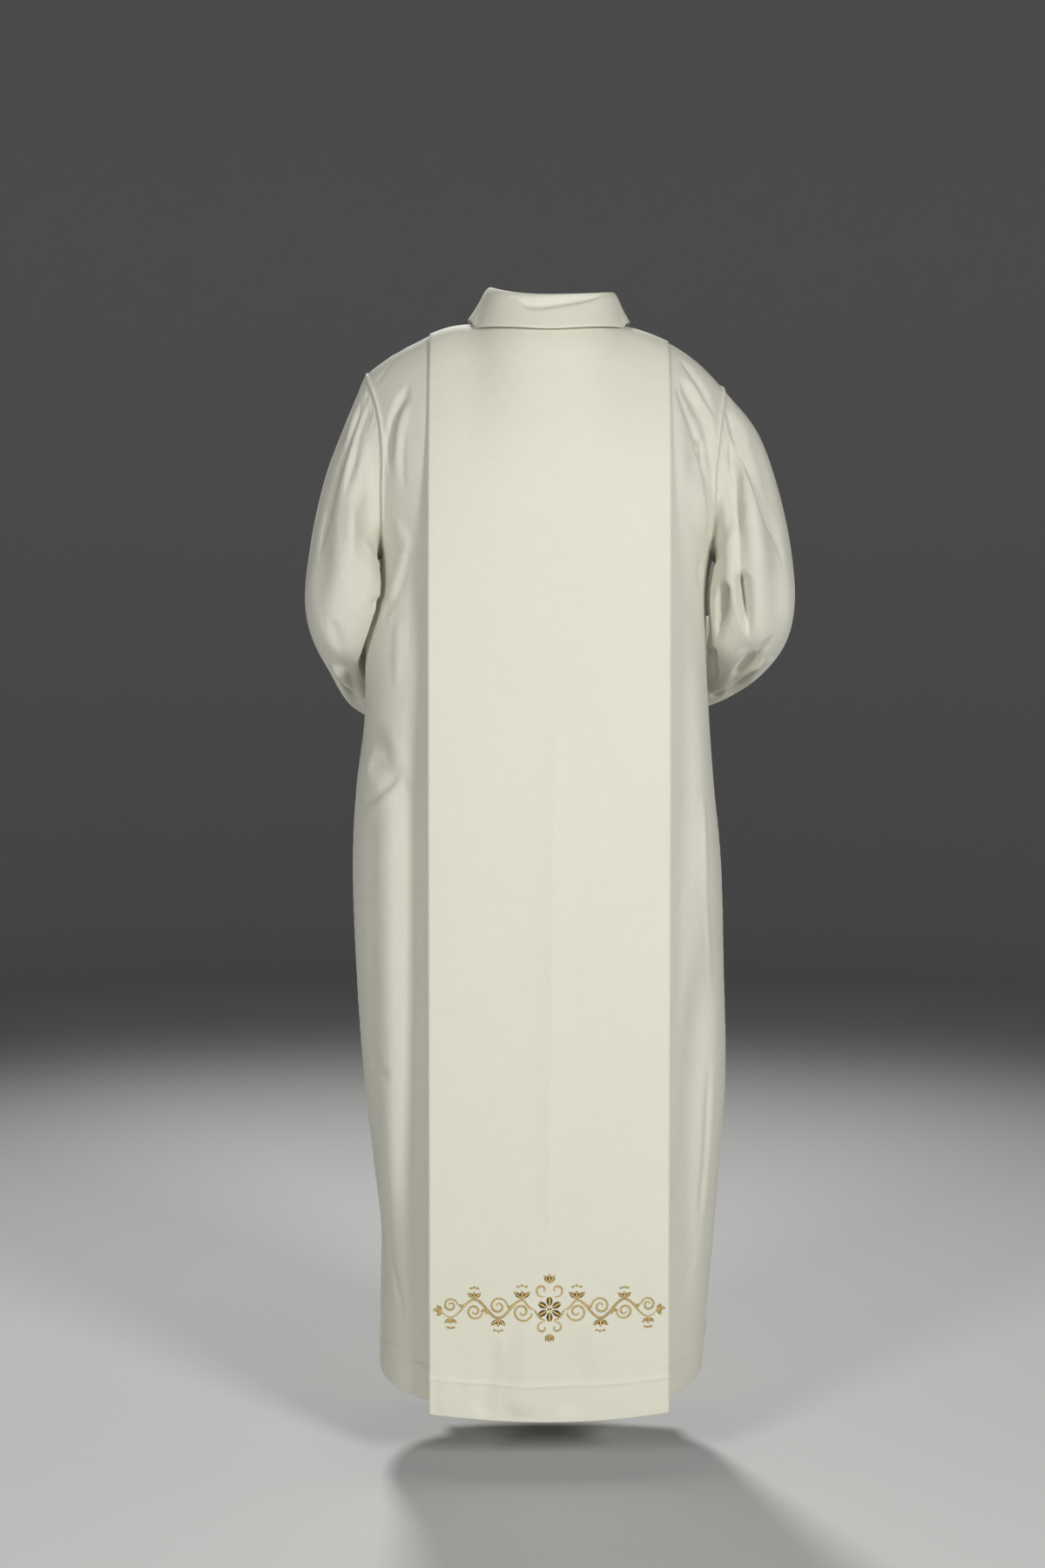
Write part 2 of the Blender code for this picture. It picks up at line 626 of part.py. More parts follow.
def cloth_piece(collection, name, surface, closed=False, hem_rows=(), slit_row=None):
    """One cut piece of cloth: a sheet of faces through the rows of points, thickened inwards."""
    surface = placed(surface)
    if closed:
        surface = np.concatenate([surface, surface[:, :1]], axis=1)
    rows, columns = surface.shape[:2]
    sheet = bmesh.new()
    bmesh.ops.create_grid(sheet, x_segments=columns - 1, y_segments=rows - 1, size=0.5)
    sheet.verts.ensure_lookup_table()
    layers = sheet.verts.layers.deform.verify()
    for index, vertex in enumerate(sheet.verts):
        row, column = divmod(index, columns)
        vertex.co = surface[row, column]
        vertex[layers][0] = 1.0 if row in hem_rows else 1.0 / HEM_LAYERS
    if slit_row is not None:
        open_slit(sheet, slit_row, columns)
    if closed:
        bmesh.ops.remove_doubles(sheet, verts=sheet.verts, dist=ROUNDING)
    wearer = Vector(surface.reshape(-1, 3).mean(axis=0))
    if not closed:
        wearer.x = wearer.y = 0.0
    point_outward(sheet, wearer)
    mesh = bpy.data.meshes.new(name)
    sheet.to_mesh(mesh)
    sheet.free()
    mesh.materials.append(ivory_cloth(name))
    mesh.shade_smooth()
    piece = bpy.data.objects.new(name, mesh)
    collection.objects.link(piece)
    piece.vertex_groups.new(name="layers")
    wall = piece.modifiers.new("wall", "SOLIDIFY")
    wall.thickness = WALL * HEM_LAYERS
    wall.vertex_group = "layers"
    wall.offset = -1
    wall.use_quality_normals = True
    return piece


def open_slit(sheet, slit_row, columns):
    """Parts the sheet along its middle column, from a row up to its upper edge."""
    middle = columns // 2
    line = [vertex for vertex in sheet.verts if vertex.index % columns == middle]
    line = [vertex for vertex in line if vertex.index // columns >= slit_row]
    inside = set(line)
    edges = [edge for edge in sheet.edges if edge.verts[0] in inside and edge.verts[1] in inside]
    end = min(line, key=lambda vertex: vertex.co.z)
    bmesh.ops.split_edges(sheet, edges=edges)
    for vertex in sheet.verts:
        if abs(vertex.co.x) > ROUNDING or vertex.co.z <= end.co.z + ROUNDING:
            continue
        side = sum(face.calc_center_median().x for face in vertex.link_faces)
        vertex.co.x = math.copysign(SLIT_GAP / 2, side)


def point_outward(sheet, middle):
    """Turns the faces so that they point away from the middle of what the piece goes round."""
    sheet.normal_update()
    spread = 0.0
    for face in sheet.faces:
        spread += face.normal.dot(face.calc_center_median() - middle) * face.calc_area()
    if spread < 0:
        bmesh.ops.reverse_faces(sheet, faces=sheet.faces)


def main():
    """Clears the scene and makes the alb's eight pieces in one collection."""
    for item in list(bpy.data.objects):
        bpy.data.objects.remove(item, do_unlink=True)
    collection = bpy.data.collections.new("alb_robe")
    bpy.context.scene.collection.children.link(collection)

    front = panel_surface("front")
    middle_heights = front[:, front.shape[1] // 2, 2]
    slit_row = int(np.searchsorted(middle_heights, NECK_FRONT_HEIGHT - SLIT_LENGTH))
    cloth_piece(collection, "alb_back", panel_surface("back"), hem_rows=(0, 1))
    cloth_piece(collection, "alb_front", front, hem_rows=(0, 1), slit_row=slit_row)
    cloth_piece(collection, "scapular_back", scapular_surface("back"), hem_rows=(0, 1))
    cloth_piece(collection, "scapular_front", scapular_surface("front"), hem_rows=(0, 1), slit_row=slit_row)
    for side in ("left", "right"):
        sleeve = sleeve_surface(side)
        hem = (len(sleeve) - 1, len(sleeve) - 2)
        cloth_piece(collection, f"sleeve_{side}", sleeve, closed=True, hem_rows=hem)
    cloth_piece(collection, "collar_stand", stand_surface())
    cloth_piece(collection, "collar_leaf", leaf_surface())


main()
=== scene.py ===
"""How the ivory alb looks: worn cloth with its folds, seams, hems, stitching and a gold border.

The wearer faces -Y, +X is the wearer's left side and +Z is up. The origin is the middle of the neck.
Heights in the tables are measured from the ground; placed() takes them down to the neck's height.
"""

import functools
import json
import math
from collections import namedtuple

import bmesh
import bpy
import numpy as np
from mathutils import Matrix, Vector

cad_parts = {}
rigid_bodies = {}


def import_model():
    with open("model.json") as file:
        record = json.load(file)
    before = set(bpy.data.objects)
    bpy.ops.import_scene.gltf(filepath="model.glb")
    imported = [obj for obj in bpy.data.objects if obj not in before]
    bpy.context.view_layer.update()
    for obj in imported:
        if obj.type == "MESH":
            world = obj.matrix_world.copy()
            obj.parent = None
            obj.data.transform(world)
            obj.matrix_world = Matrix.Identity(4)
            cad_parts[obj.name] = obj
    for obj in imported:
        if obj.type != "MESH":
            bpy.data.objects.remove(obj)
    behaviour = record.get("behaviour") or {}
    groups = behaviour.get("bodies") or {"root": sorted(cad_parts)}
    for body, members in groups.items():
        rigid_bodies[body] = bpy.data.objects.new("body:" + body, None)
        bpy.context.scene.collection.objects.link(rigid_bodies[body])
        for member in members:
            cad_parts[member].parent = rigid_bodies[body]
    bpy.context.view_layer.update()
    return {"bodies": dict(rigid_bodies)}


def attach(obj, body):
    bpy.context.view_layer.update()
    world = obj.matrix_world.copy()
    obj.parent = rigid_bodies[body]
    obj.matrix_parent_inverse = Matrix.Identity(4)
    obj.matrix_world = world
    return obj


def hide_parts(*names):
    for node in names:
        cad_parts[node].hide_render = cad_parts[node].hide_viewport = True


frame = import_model()
BODY = next(iter(frame["bodies"]))

# Driving sizes in metres. A height is measured from the ground on which the wearer stands.
NECK_HEIGHT = 1.500
ARMPIT_HEIGHT = 1.200
CLOTH = 0.0011
HEM_LAYERS = 2
BODY_HEM = 0.045
CUFF_HEM = 0.030
SEAM_GAP = 0.0002

NECK_HALF_WIDTH = 0.088
NECK_BACK = 0.0735
NECK_FRONT = 0.087
NECK_BACK_HEIGHT = 1.495
NECK_SIDE_HEIGHT = 1.502
NECK_FRONT_HEIGHT = 1.440
NECK_DIP = 1.5
NECK_COLUMN_REACH = 0.118

SIDE_HEM_HEIGHT = 0.120
BACK_HEM_DROP = 0.033
FRONT_HEM_DROP = 0.020

SLIT_LENGTH = 0.200
SLIT_GAP = 0.0008
POCKET_TOP = 1.045
POCKET_BOTTOM = 0.885
POCKET_GAP = 0.003

SCAPULAR_HALF_WIDTH = 0.157
SCAPULAR_CLEARANCE = 0.0016
SCAPULAR_SWING = 0.004
HANG_BELOW = 1.100
REST_ABOVE = 1.400
LEFT_EDGE_DROP = 0.008
RIGHT_EDGE_DROP = 0.017
EDGE_DROP_POWER = 2.2
SCAPULAR_BACK_HEM = 0.074
SCAPULAR_FRONT_HEM = 0.088
SCAPULAR_CORNER_RISE = 0.008
LENGTHEN_BELOW = 0.300

SLEEVE_CLEARANCE = 0.010
SLEEVE_CLEAR_ROWS = 4
SLEEVE_CLEAR_TOP = 1.330
SLEEVE_HEAD_WAY = (0.5, 0.0, -1.0)
ARMPIT_WAY = (1.0, 0.0, -0.3)

COLLAR_END = 0.6
FOLD_GAP = 0.0004
STAND_INSET = 0.0006
COLLAR_DIP = 1.5
LEAF_SIDE_REACH = 0.107
LEAF_BACK_REACH = 0.094
LEAF_FRONT_REACH = 0.122
LEAF_LIFT = 0.005
LEAF_BACK_LIFT = 0.0035
LEAF_SPREAD = 20

# Shape of the rings, of the yoke over the shoulders and of the armhole.
RING_POWER = 2.5
SHOULDER_POWER = 2.0
ARMHOLE_CUT = 0.35
ARMHOLE_POWER = 0.5
ARMHOLE_FEEL = 8
GATHER_START = 0.25

# How finely each piece is meshed.
NECK_COLUMNS = 26
SHOULDER_COLUMNS = 42
HEM_SHARES = (0.0, 0.03, 0.10, 0.22, 0.38, 0.56, 0.74, 0.88, 0.94, 0.975, 1.0)
ABOVE_HEM = (0.0012, 0.0035)
SKIRT_ROWS = 140
YOKE_ROWS = 84
SCAPULAR_COLUMNS = 90
SEAM_COLUMNS = (0.040, 0.033, 0.027, 0.022, 0.0175, 0.0135, 0.010, 0.007, 0.0045, 0.0025, 0.001)
SLEEVE_RINGS = 216
SEAM_RINGS = (0.2, 0.4, 0.6, 0.8)
CUFF_ROWS = 10
COLLAR_COLUMNS = 200
LEAF_LINES = 26
STAND_LINES = 12

# Two places closer than this are the same place.
ROUNDING = 1e-6

# The cloth's two tones and its shine. Robe and scapular are one ivory cloth. The robe's copy is painted
# darker and a little cooler as painted shade, for the shade that the alb's body and sleeves lie in, and the
# scapular and the collar wear the lit copy. The twill's height is its ridges, with shares of the threads that
# cross them and of the spots in the yarn.
Tone = namedtuple("Tone", "light shade")
SHADED_ROBE = Tone((0.715, 0.70, 0.60, 1.0), (0.665, 0.65, 0.55, 1.0))
SCAPULAR = Tone((0.80, 0.785, 0.655, 1.0), (0.755, 0.74, 0.61, 1.0))
CLOTH_ROUGHNESS = 0.72
CLOTH_SHEEN = 0.25
SHEEN_ROUGHNESS = 0.45
TWILL_PITCH = 0.0011
TWILL_SLOPE = 0.6
CROSS_THREAD_SHARE = 0.4
YARN_SPOTS = 900.0
SPOT_RISE = 0.8
WEAVE_DEPTH = 0.00012
WEAVE_STRENGTH = 0.5

# The twill's tone: the streaks of both yarns and a share of the spots add up to TONE_MIDDLE on average.
SLUB_SCALE = 520.0
SLUB_STRETCH = 0.07
SLUB_CONTRAST = 1.6
SPOT_TONE = 0.3
TONE_MIDDLE = 1.15

# Wide patches in the cloth's tone, and ripples that keep it from being quite flat.
PATCH_SCALE = 9.0
PATCH_SHARE = 0.5
RIPPLE_SCALE = 22.0
RIPPLE_DETAIL = 3.0
RIPPLE_ROUGHNESS = 0.45
RIPPLE_DEPTH = 0.0015

# The studio in metres: the camera's and the lamps' places are from the middle of the neck, and the wall's
# height is from the floor. The floor darkens between PALE_REACH and DARK_REACH from the neck.
CAMERA_PLACE = (0.035, 3.6, -0.35)
CAMERA_TILT = 4.04
LENS_MM = 62.0
SENSOR_MM = 36.0
FLOOR_RADIUS = 4.5
COVE_RADIUS = 2.5
WALL_HEIGHT = 5.5
COVE_STEPS = 12
ROUND_STEPS = 96
FLOOR_COLOUR = (0.62, 0.62, 0.61, 1.0)
WALL_COLOUR = (0.30, 0.30, 0.30, 1.0)
FLOOR_ROUGHNESS = 0.85
SHADE_SOFTNESS = 0.2
PALE_REACH = 1.8
DARK_REACH = 6.0
WORLD_COLOUR = (0.90, 0.90, 0.92, 1.0)
WORLD_STRENGTH = 0.05
Lamp = namedtuple("Lamp", "name place aim size watts")
SPOT_CONE = 75
FRONT_SPOT = Lamp("front", (0.9, -4.6, 3.0), (0.0, 0.0, -0.6), 0.5, 900.0)
LAMPS = (
    Lamp("right key", (-2.5, 3.9, 0.7), (0.0, 0.0, -0.75), 1.0, 128.0),
    Lamp("left key", (2.5, 3.9, 0.7), (0.0, 0.0, -0.75), 1.0, 78.0),
)

# The cut of what shows of each piece: greatest width and length in metres, flat area in square
# metres, and how and where the cloth is held.
Cut = namedtuple("Cut", "width length area held rests_on")

# Stitches along the hems: one small thread with few sides, many times.
STITCH_PITCH = 0.0034
STITCH_LENGTH = 0.0024
STITCH_RADIUS = 0.00022
STITCH_LIFT = 0.0001
STITCH_INSET = 0.0020
STITCH_SIDES = 5
STITCH_RINGS = 4
THREAD_TONE = (0.83, 0.815, 0.70, 1.0)
THREAD_ROUGHNESS = 0.6
TWIST_STRENGTH = 0.5

# The gold border on the scapular's back: its height, and its left half's winding stem with a tendril, leaves
# and berries at each bend and a pair of buds between. The right half mirrors it. Each bend's parts are a
# little smaller than the last one's.
BORDER_HEIGHT = 0.2235
VINE_START = 0.0200
VINE_END = 0.1410
VINE_PERIOD = 0.0620
VINE_WAVE = 0.0120
VINE_STEPS = 49
VINE_BENDS = 4
BEND_SHRINK = 0.09
CURL_DROP = 0.0035
CURL_OUTER = 0.0132
CURL_INNER = 0.0020
CURL_TURNS = 1.5
CURL_STEPS = 37
BLADE_STEPS = 9

# Blades fan out from one place, and each leans from the fan's way. Widths are those at a stroke's foot,
# in its middle and at its tip.
Lean = namedtuple("Lean", "degrees length")
Fan = namedtuple("Fan", "blades bend widths")
LEAVES = Fan((Lean(38, 0.0150), Lean(-38, 0.0150), Lean(0, 0.0120)), 0.0022, (0.0006, 0.0044, 0.0002))
BUDS = Fan((Lean(-28, 0.0078), Lean(24, 0.0092)), 0.0012, (0.0005, 0.0028, 0.0002))
TIPS = Fan((Lean(-34, 0.0110), Lean(0, 0.0110), Lean(34, 0.0110)), 0.0015, (0.0005, 0.0036, 0.0002))
LEAF_FOOT = 0.0012
BUD_WAYS = (90, -60)
TIP_INSET = 0.002
Berry = namedtuple("Berry", "aside up")
BERRIES = (Berry(-0.0052, 0.0158), Berry(0.0052, 0.0158), Berry(0.0, 0.0172))
BERRY_LENGTH = 0.0036
BERRY_WIDTHS = (0.0020, 0.0029, 0.0020)
STEM_WIDTHS = (0.0016, 0.0026, 0.0010)
TENDRIL_WIDTHS = (0.0016, 0.0021, 0.0012)

# The flower between the halves, measured from its middle: what is mirrored, then what isn't.
Blade = namedtuple("Blade", "x up angle length bend widths")
Curl = namedtuple("Curl", "x up start turns outer inner widths")
PETAL_LENGTH = 0.0130
PETAL_WIDTHS = (0.0018, 0.0062, 0.0036)
SIDE_LEAF_WIDTHS = (0.0006, 0.0040, 0.0003)
HALF_FLOWER = (
    Blade(0.0031, 0.0018, 30, PETAL_LENGTH, 0.0, PETAL_WIDTHS),
    Blade(0.0031, -0.0018, -30, PETAL_LENGTH, 0.0, PETAL_WIDTHS),
    Curl(0.0096, 0.0250, -120, 0.95, 0.0092, 0.0026, (0.0010, 0.0021, 0.0013)),
    Curl(0.0090, -0.0240, 120, -0.95, 0.0080, 0.0024, (0.0010, 0.0019, 0.0012)),
    Blade(0.0010, 0.0345, 52, 0.0125, 0.0016, SIDE_LEAF_WIDTHS),
    Blade(0.0010, -0.0330, -55, 0.0105, -0.0016, SIDE_LEAF_WIDTHS),
)
FLOWER_STEM = ((0.0052, -0.0150), (0.0130, -0.0105), (VINE_START, 0.0))
FLOWER_STEM_WIDTHS = (0.0010, 0.0020, 0.0016)
MIDDLE_FLOWER = (
    Blade(0.0, 0.0036, 90, PETAL_LENGTH, 0.0, PETAL_WIDTHS),
    Blade(0.0, -0.0036, 90, -PETAL_LENGTH, 0.0, PETAL_WIDTHS),
    Blade(0.0, -0.0021, 90, 0.0042, 0.0, (0.0030, 0.0042, 0.0030)),
    Blade(0.0, 0.0330, 90, 0.0150, 0.0, (0.0006, 0.0042, 0.0003)),
    Blade(0.0, -0.0315, 90, -0.0130, 0.0, SIDE_LEAF_WIDTHS),
)

# Each stroke is a rounded band of gold thread, as high as BAND_HEIGHT where it is as wide as BAND_FULL.
BAND_SIDES = 8
BAND_STEP = 0.0014
BAND_LEAST_STEPS = 6
BAND_SINK = 0.00002
BAND_HEIGHT = 0.0008
BAND_FULL = 0.0020
BAND_STOUT = 1.3
BAND_END_ROUNDING = 40
# Painted light on the gold: its shade colour darkens each band towards its edges and between its threads as
# painted  shade, and its light colour brightens the band's middle and the threads' tops as painted highlight.
GOLD_LIGHT = (0.90, 0.67, 0.24, 1.0)
GOLD_SHADE = (0.14, 0.07, 0.015, 1.0)
GOLD_ROUGHNESS = 0.36
GOLD_METALLIC = 0.40
EDGE_SHADE = 620.0
THREAD_LINE_SHADE = 0.35
TONE_LIFT = 0.25
THREAD_PITCH = 0.0008
THREAD_SLANT = 0.35
THREAD_SPOTS = 700.0
THREAD_DEPTH = 0.0002
THREAD_STRENGTH = 0.8

# The robe's rings: half widths to the wearer's left and right, depth behind and in front of the side seams.
BodySection = namedtuple("BodySection", "height left right back front")
BODY_SECTIONS = (
    BodySection(0.080, 0.227, 0.204, 0.147, 0.160),
    BodySection(0.220, 0.226, 0.216, 0.147, 0.160),
    BodySection(0.300, 0.225, 0.223, 0.147, 0.160),
    BodySection(0.365, 0.232, 0.228, 0.146, 0.159),
    BodySection(0.500, 0.247, 0.237, 0.145, 0.158),
    BodySection(0.650, 0.257, 0.234, 0.144, 0.157),
    BodySection(0.800, 0.261, 0.229, 0.143, 0.156),
    BodySection(0.900, 0.255, 0.219, 0.140, 0.156),
    BodySection(0.977, 0.245, 0.213, 0.134, 0.154),
    BodySection(1.100, 0.241, 0.208, 0.129, 0.151),
    BodySection(1.200, 0.222, 0.214, 0.132, 0.150),
    BodySection(1.300, 0.240, 0.240, 0.137, 0.147),
    BodySection(1.360, 0.248, 0.254, 0.137, 0.138),
    BodySection(1.440, 0.256, 0.258, 0.130, 0.125),
)

# The shoulder seams, from the neck outwards.
SeamPoint = namedtuple("SeamPoint", "across height")
SHOULDER_SEAM = {
    "left": (
        SeamPoint(0.088, 1.502),
        SeamPoint(0.127, 1.499),
        SeamPoint(0.168, 1.481),
        SeamPoint(0.209, 1.459),
        SeamPoint(0.242, 1.436),
    ),
    "right": (
        SeamPoint(0.088, 1.502),
        SeamPoint(0.127, 1.490),
        SeamPoint(0.156, 1.476),
        SeamPoint(0.187, 1.455),
        SeamPoint(0.227, 1.419),
    ),
}

# Long soft folds, out for a ridge and in for a hollow, each from a start to an end. The robe's run down
# a panel, and across and along are metres: a place across it and a height.
Fold = namedtuple("Fold", "part start_across start_along end_across end_along half_width depth")
BODY_FOLDS = (
    Fold("back", 0.176, 1.060, 0.178, 0.190, 0.030, -0.010),
    Fold("back", 0.212, 1.000, 0.206, 0.240, 0.028, 0.005),
    Fold("back", 0.240, 0.985, 0.195, 0.880, 0.030, -0.007),
    Fold("back", -0.186, 1.120, -0.213, 0.700, 0.028, 0.006),
    Fold("back", -0.208, 0.720, -0.160, 0.160, 0.032, -0.009),
    Fold("back", -0.188, 1.430, -0.196, 1.270, 0.024, -0.006),
    Fold("front", 0.182, 1.080, 0.188, 0.150, 0.032, -0.011),
    Fold("front", 0.214, 0.960, 0.208, 0.200, 0.026, 0.006),
    Fold("front", -0.178, 1.060, -0.184, 0.180, 0.032, -0.010),
    Fold("front", -0.206, 0.880, -0.190, 0.150, 0.026, 0.006),
    Fold("front", 0.170, 1.420, 0.150, 1.200, 0.030, -0.006),
    Fold("front", -0.172, 1.410, -0.148, 1.180, 0.030, -0.006),
)
FOLD_FADE = 0.25
SIDE_CALM = 0.05

# The sleeves' sections below the armhole: the outer and the inner edge, and how far the cloth stands off
# the line between them behind or under the arm, and before or over it.
SLEEVE_COLUMNS = "outer_x outer_y outer_height inner_x inner_y inner_height under over"
SleeveSection = namedtuple("SleeveSection", SLEEVE_COLUMNS)
SLEEVE_SECTIONS = {
    "left": (
        SleeveSection(0.272, 0.000, 1.367, 0.220, 0.000, 1.188, 0.074, 0.072),
        SleeveSection(0.297, 0.000, 1.300, 0.212, 0.000, 1.168, 0.090, 0.080),
        SleeveSection(0.316, 0.002, 1.215, 0.204, 0.000, 1.128, 0.094, 0.078),
        SleeveSection(0.321, 0.002, 1.140, 0.222, -0.004, 1.088, 0.074, 0.062),
        SleeveSection(0.303, -0.040, 1.078, 0.238, -0.045, 1.072, 0.046, 0.045),
        SleeveSection(0.270, -0.172, 1.058, 0.203, -0.124, 1.054, 0.080, 0.058),
        SleeveSection(0.158, -0.280, 1.035, 0.093, -0.228, 1.035, 0.102, 0.060),
    ),
    "right": (
        SleeveSection(0.273, 0.000, 1.367, 0.216, 0.000, 1.188, 0.074, 0.072),
        SleeveSection(0.300, 0.000, 1.300, 0.208, 0.000, 1.168, 0.088, 0.080),
        SleeveSection(0.320, 0.002, 1.215, 0.200, 0.000, 1.128, 0.090, 0.076),
        SleeveSection(0.325, 0.002, 1.140, 0.206, -0.004, 1.092, 0.066, 0.060),
        SleeveSection(0.312, -0.040, 1.086, 0.214, -0.045, 1.080, 0.046, 0.045),
        SleeveSection(0.268, -0.172, 1.066, 0.200, -0.124, 1.062, 0.062, 0.056),
        SleeveSection(0.156, -0.280, 1.047, 0.091, -0.228, 1.047, 0.092, 0.060),
    ),
}
SLEEVE_STEPS = (3, 2, 2, 2, 2, 3, 4)

# A sleeve's run down the arm. Across is in degrees round it, 0 outside, 90 behind or under, 180 inside,
# and along counts the sleeve's coarse rows.
SLEEVE_FOLDS = (
    Fold("left", 30, 2, 60, 9, 26, -0.005),
    Fold("left", 78, 1, 96, 7, 24, 0.005),
    Fold("left", 108, 9, 84, 15, 26, -0.006),
    Fold("right", 36, 2, 66, 10, 26, -0.005),
    Fold("right", 84, 2, 70, 8, 24, 0.006),
    Fold("right", 112, 8, 88, 14, 28, -0.008),
    Fold("left", 290, 3, 300, 12, 30, -0.006),
    Fold("right", 288, 3, 302, 12, 30, -0.006),
)

# The collar's fold line: its reach from the middle of the neck, and its height.
FoldPoint = namedtuple("FoldPoint", "reach height")
COLLAR_LEFT = FoldPoint(0.077, 1.552)
COLLAR_RIGHT = FoldPoint(0.084, 1.545)
COLLAR_BACK = FoldPoint(0.066, 1.5365)
COLLAR_FRONT = FoldPoint(0.079, 1.487)

# The collar leaf from its fold line to its lower edge, in shares of the way out and of the way down.
LeafRow = namedtuple("LeafRow", "out down")
LEAF_ROWS = (
    LeafRow(-0.06, 0.000),
    LeafRow(0.10, 0.012),
    LeafRow(0.30, 0.160),
    LeafRow(0.58, 0.520),
    LeafRow(1.00, 1.000),
)

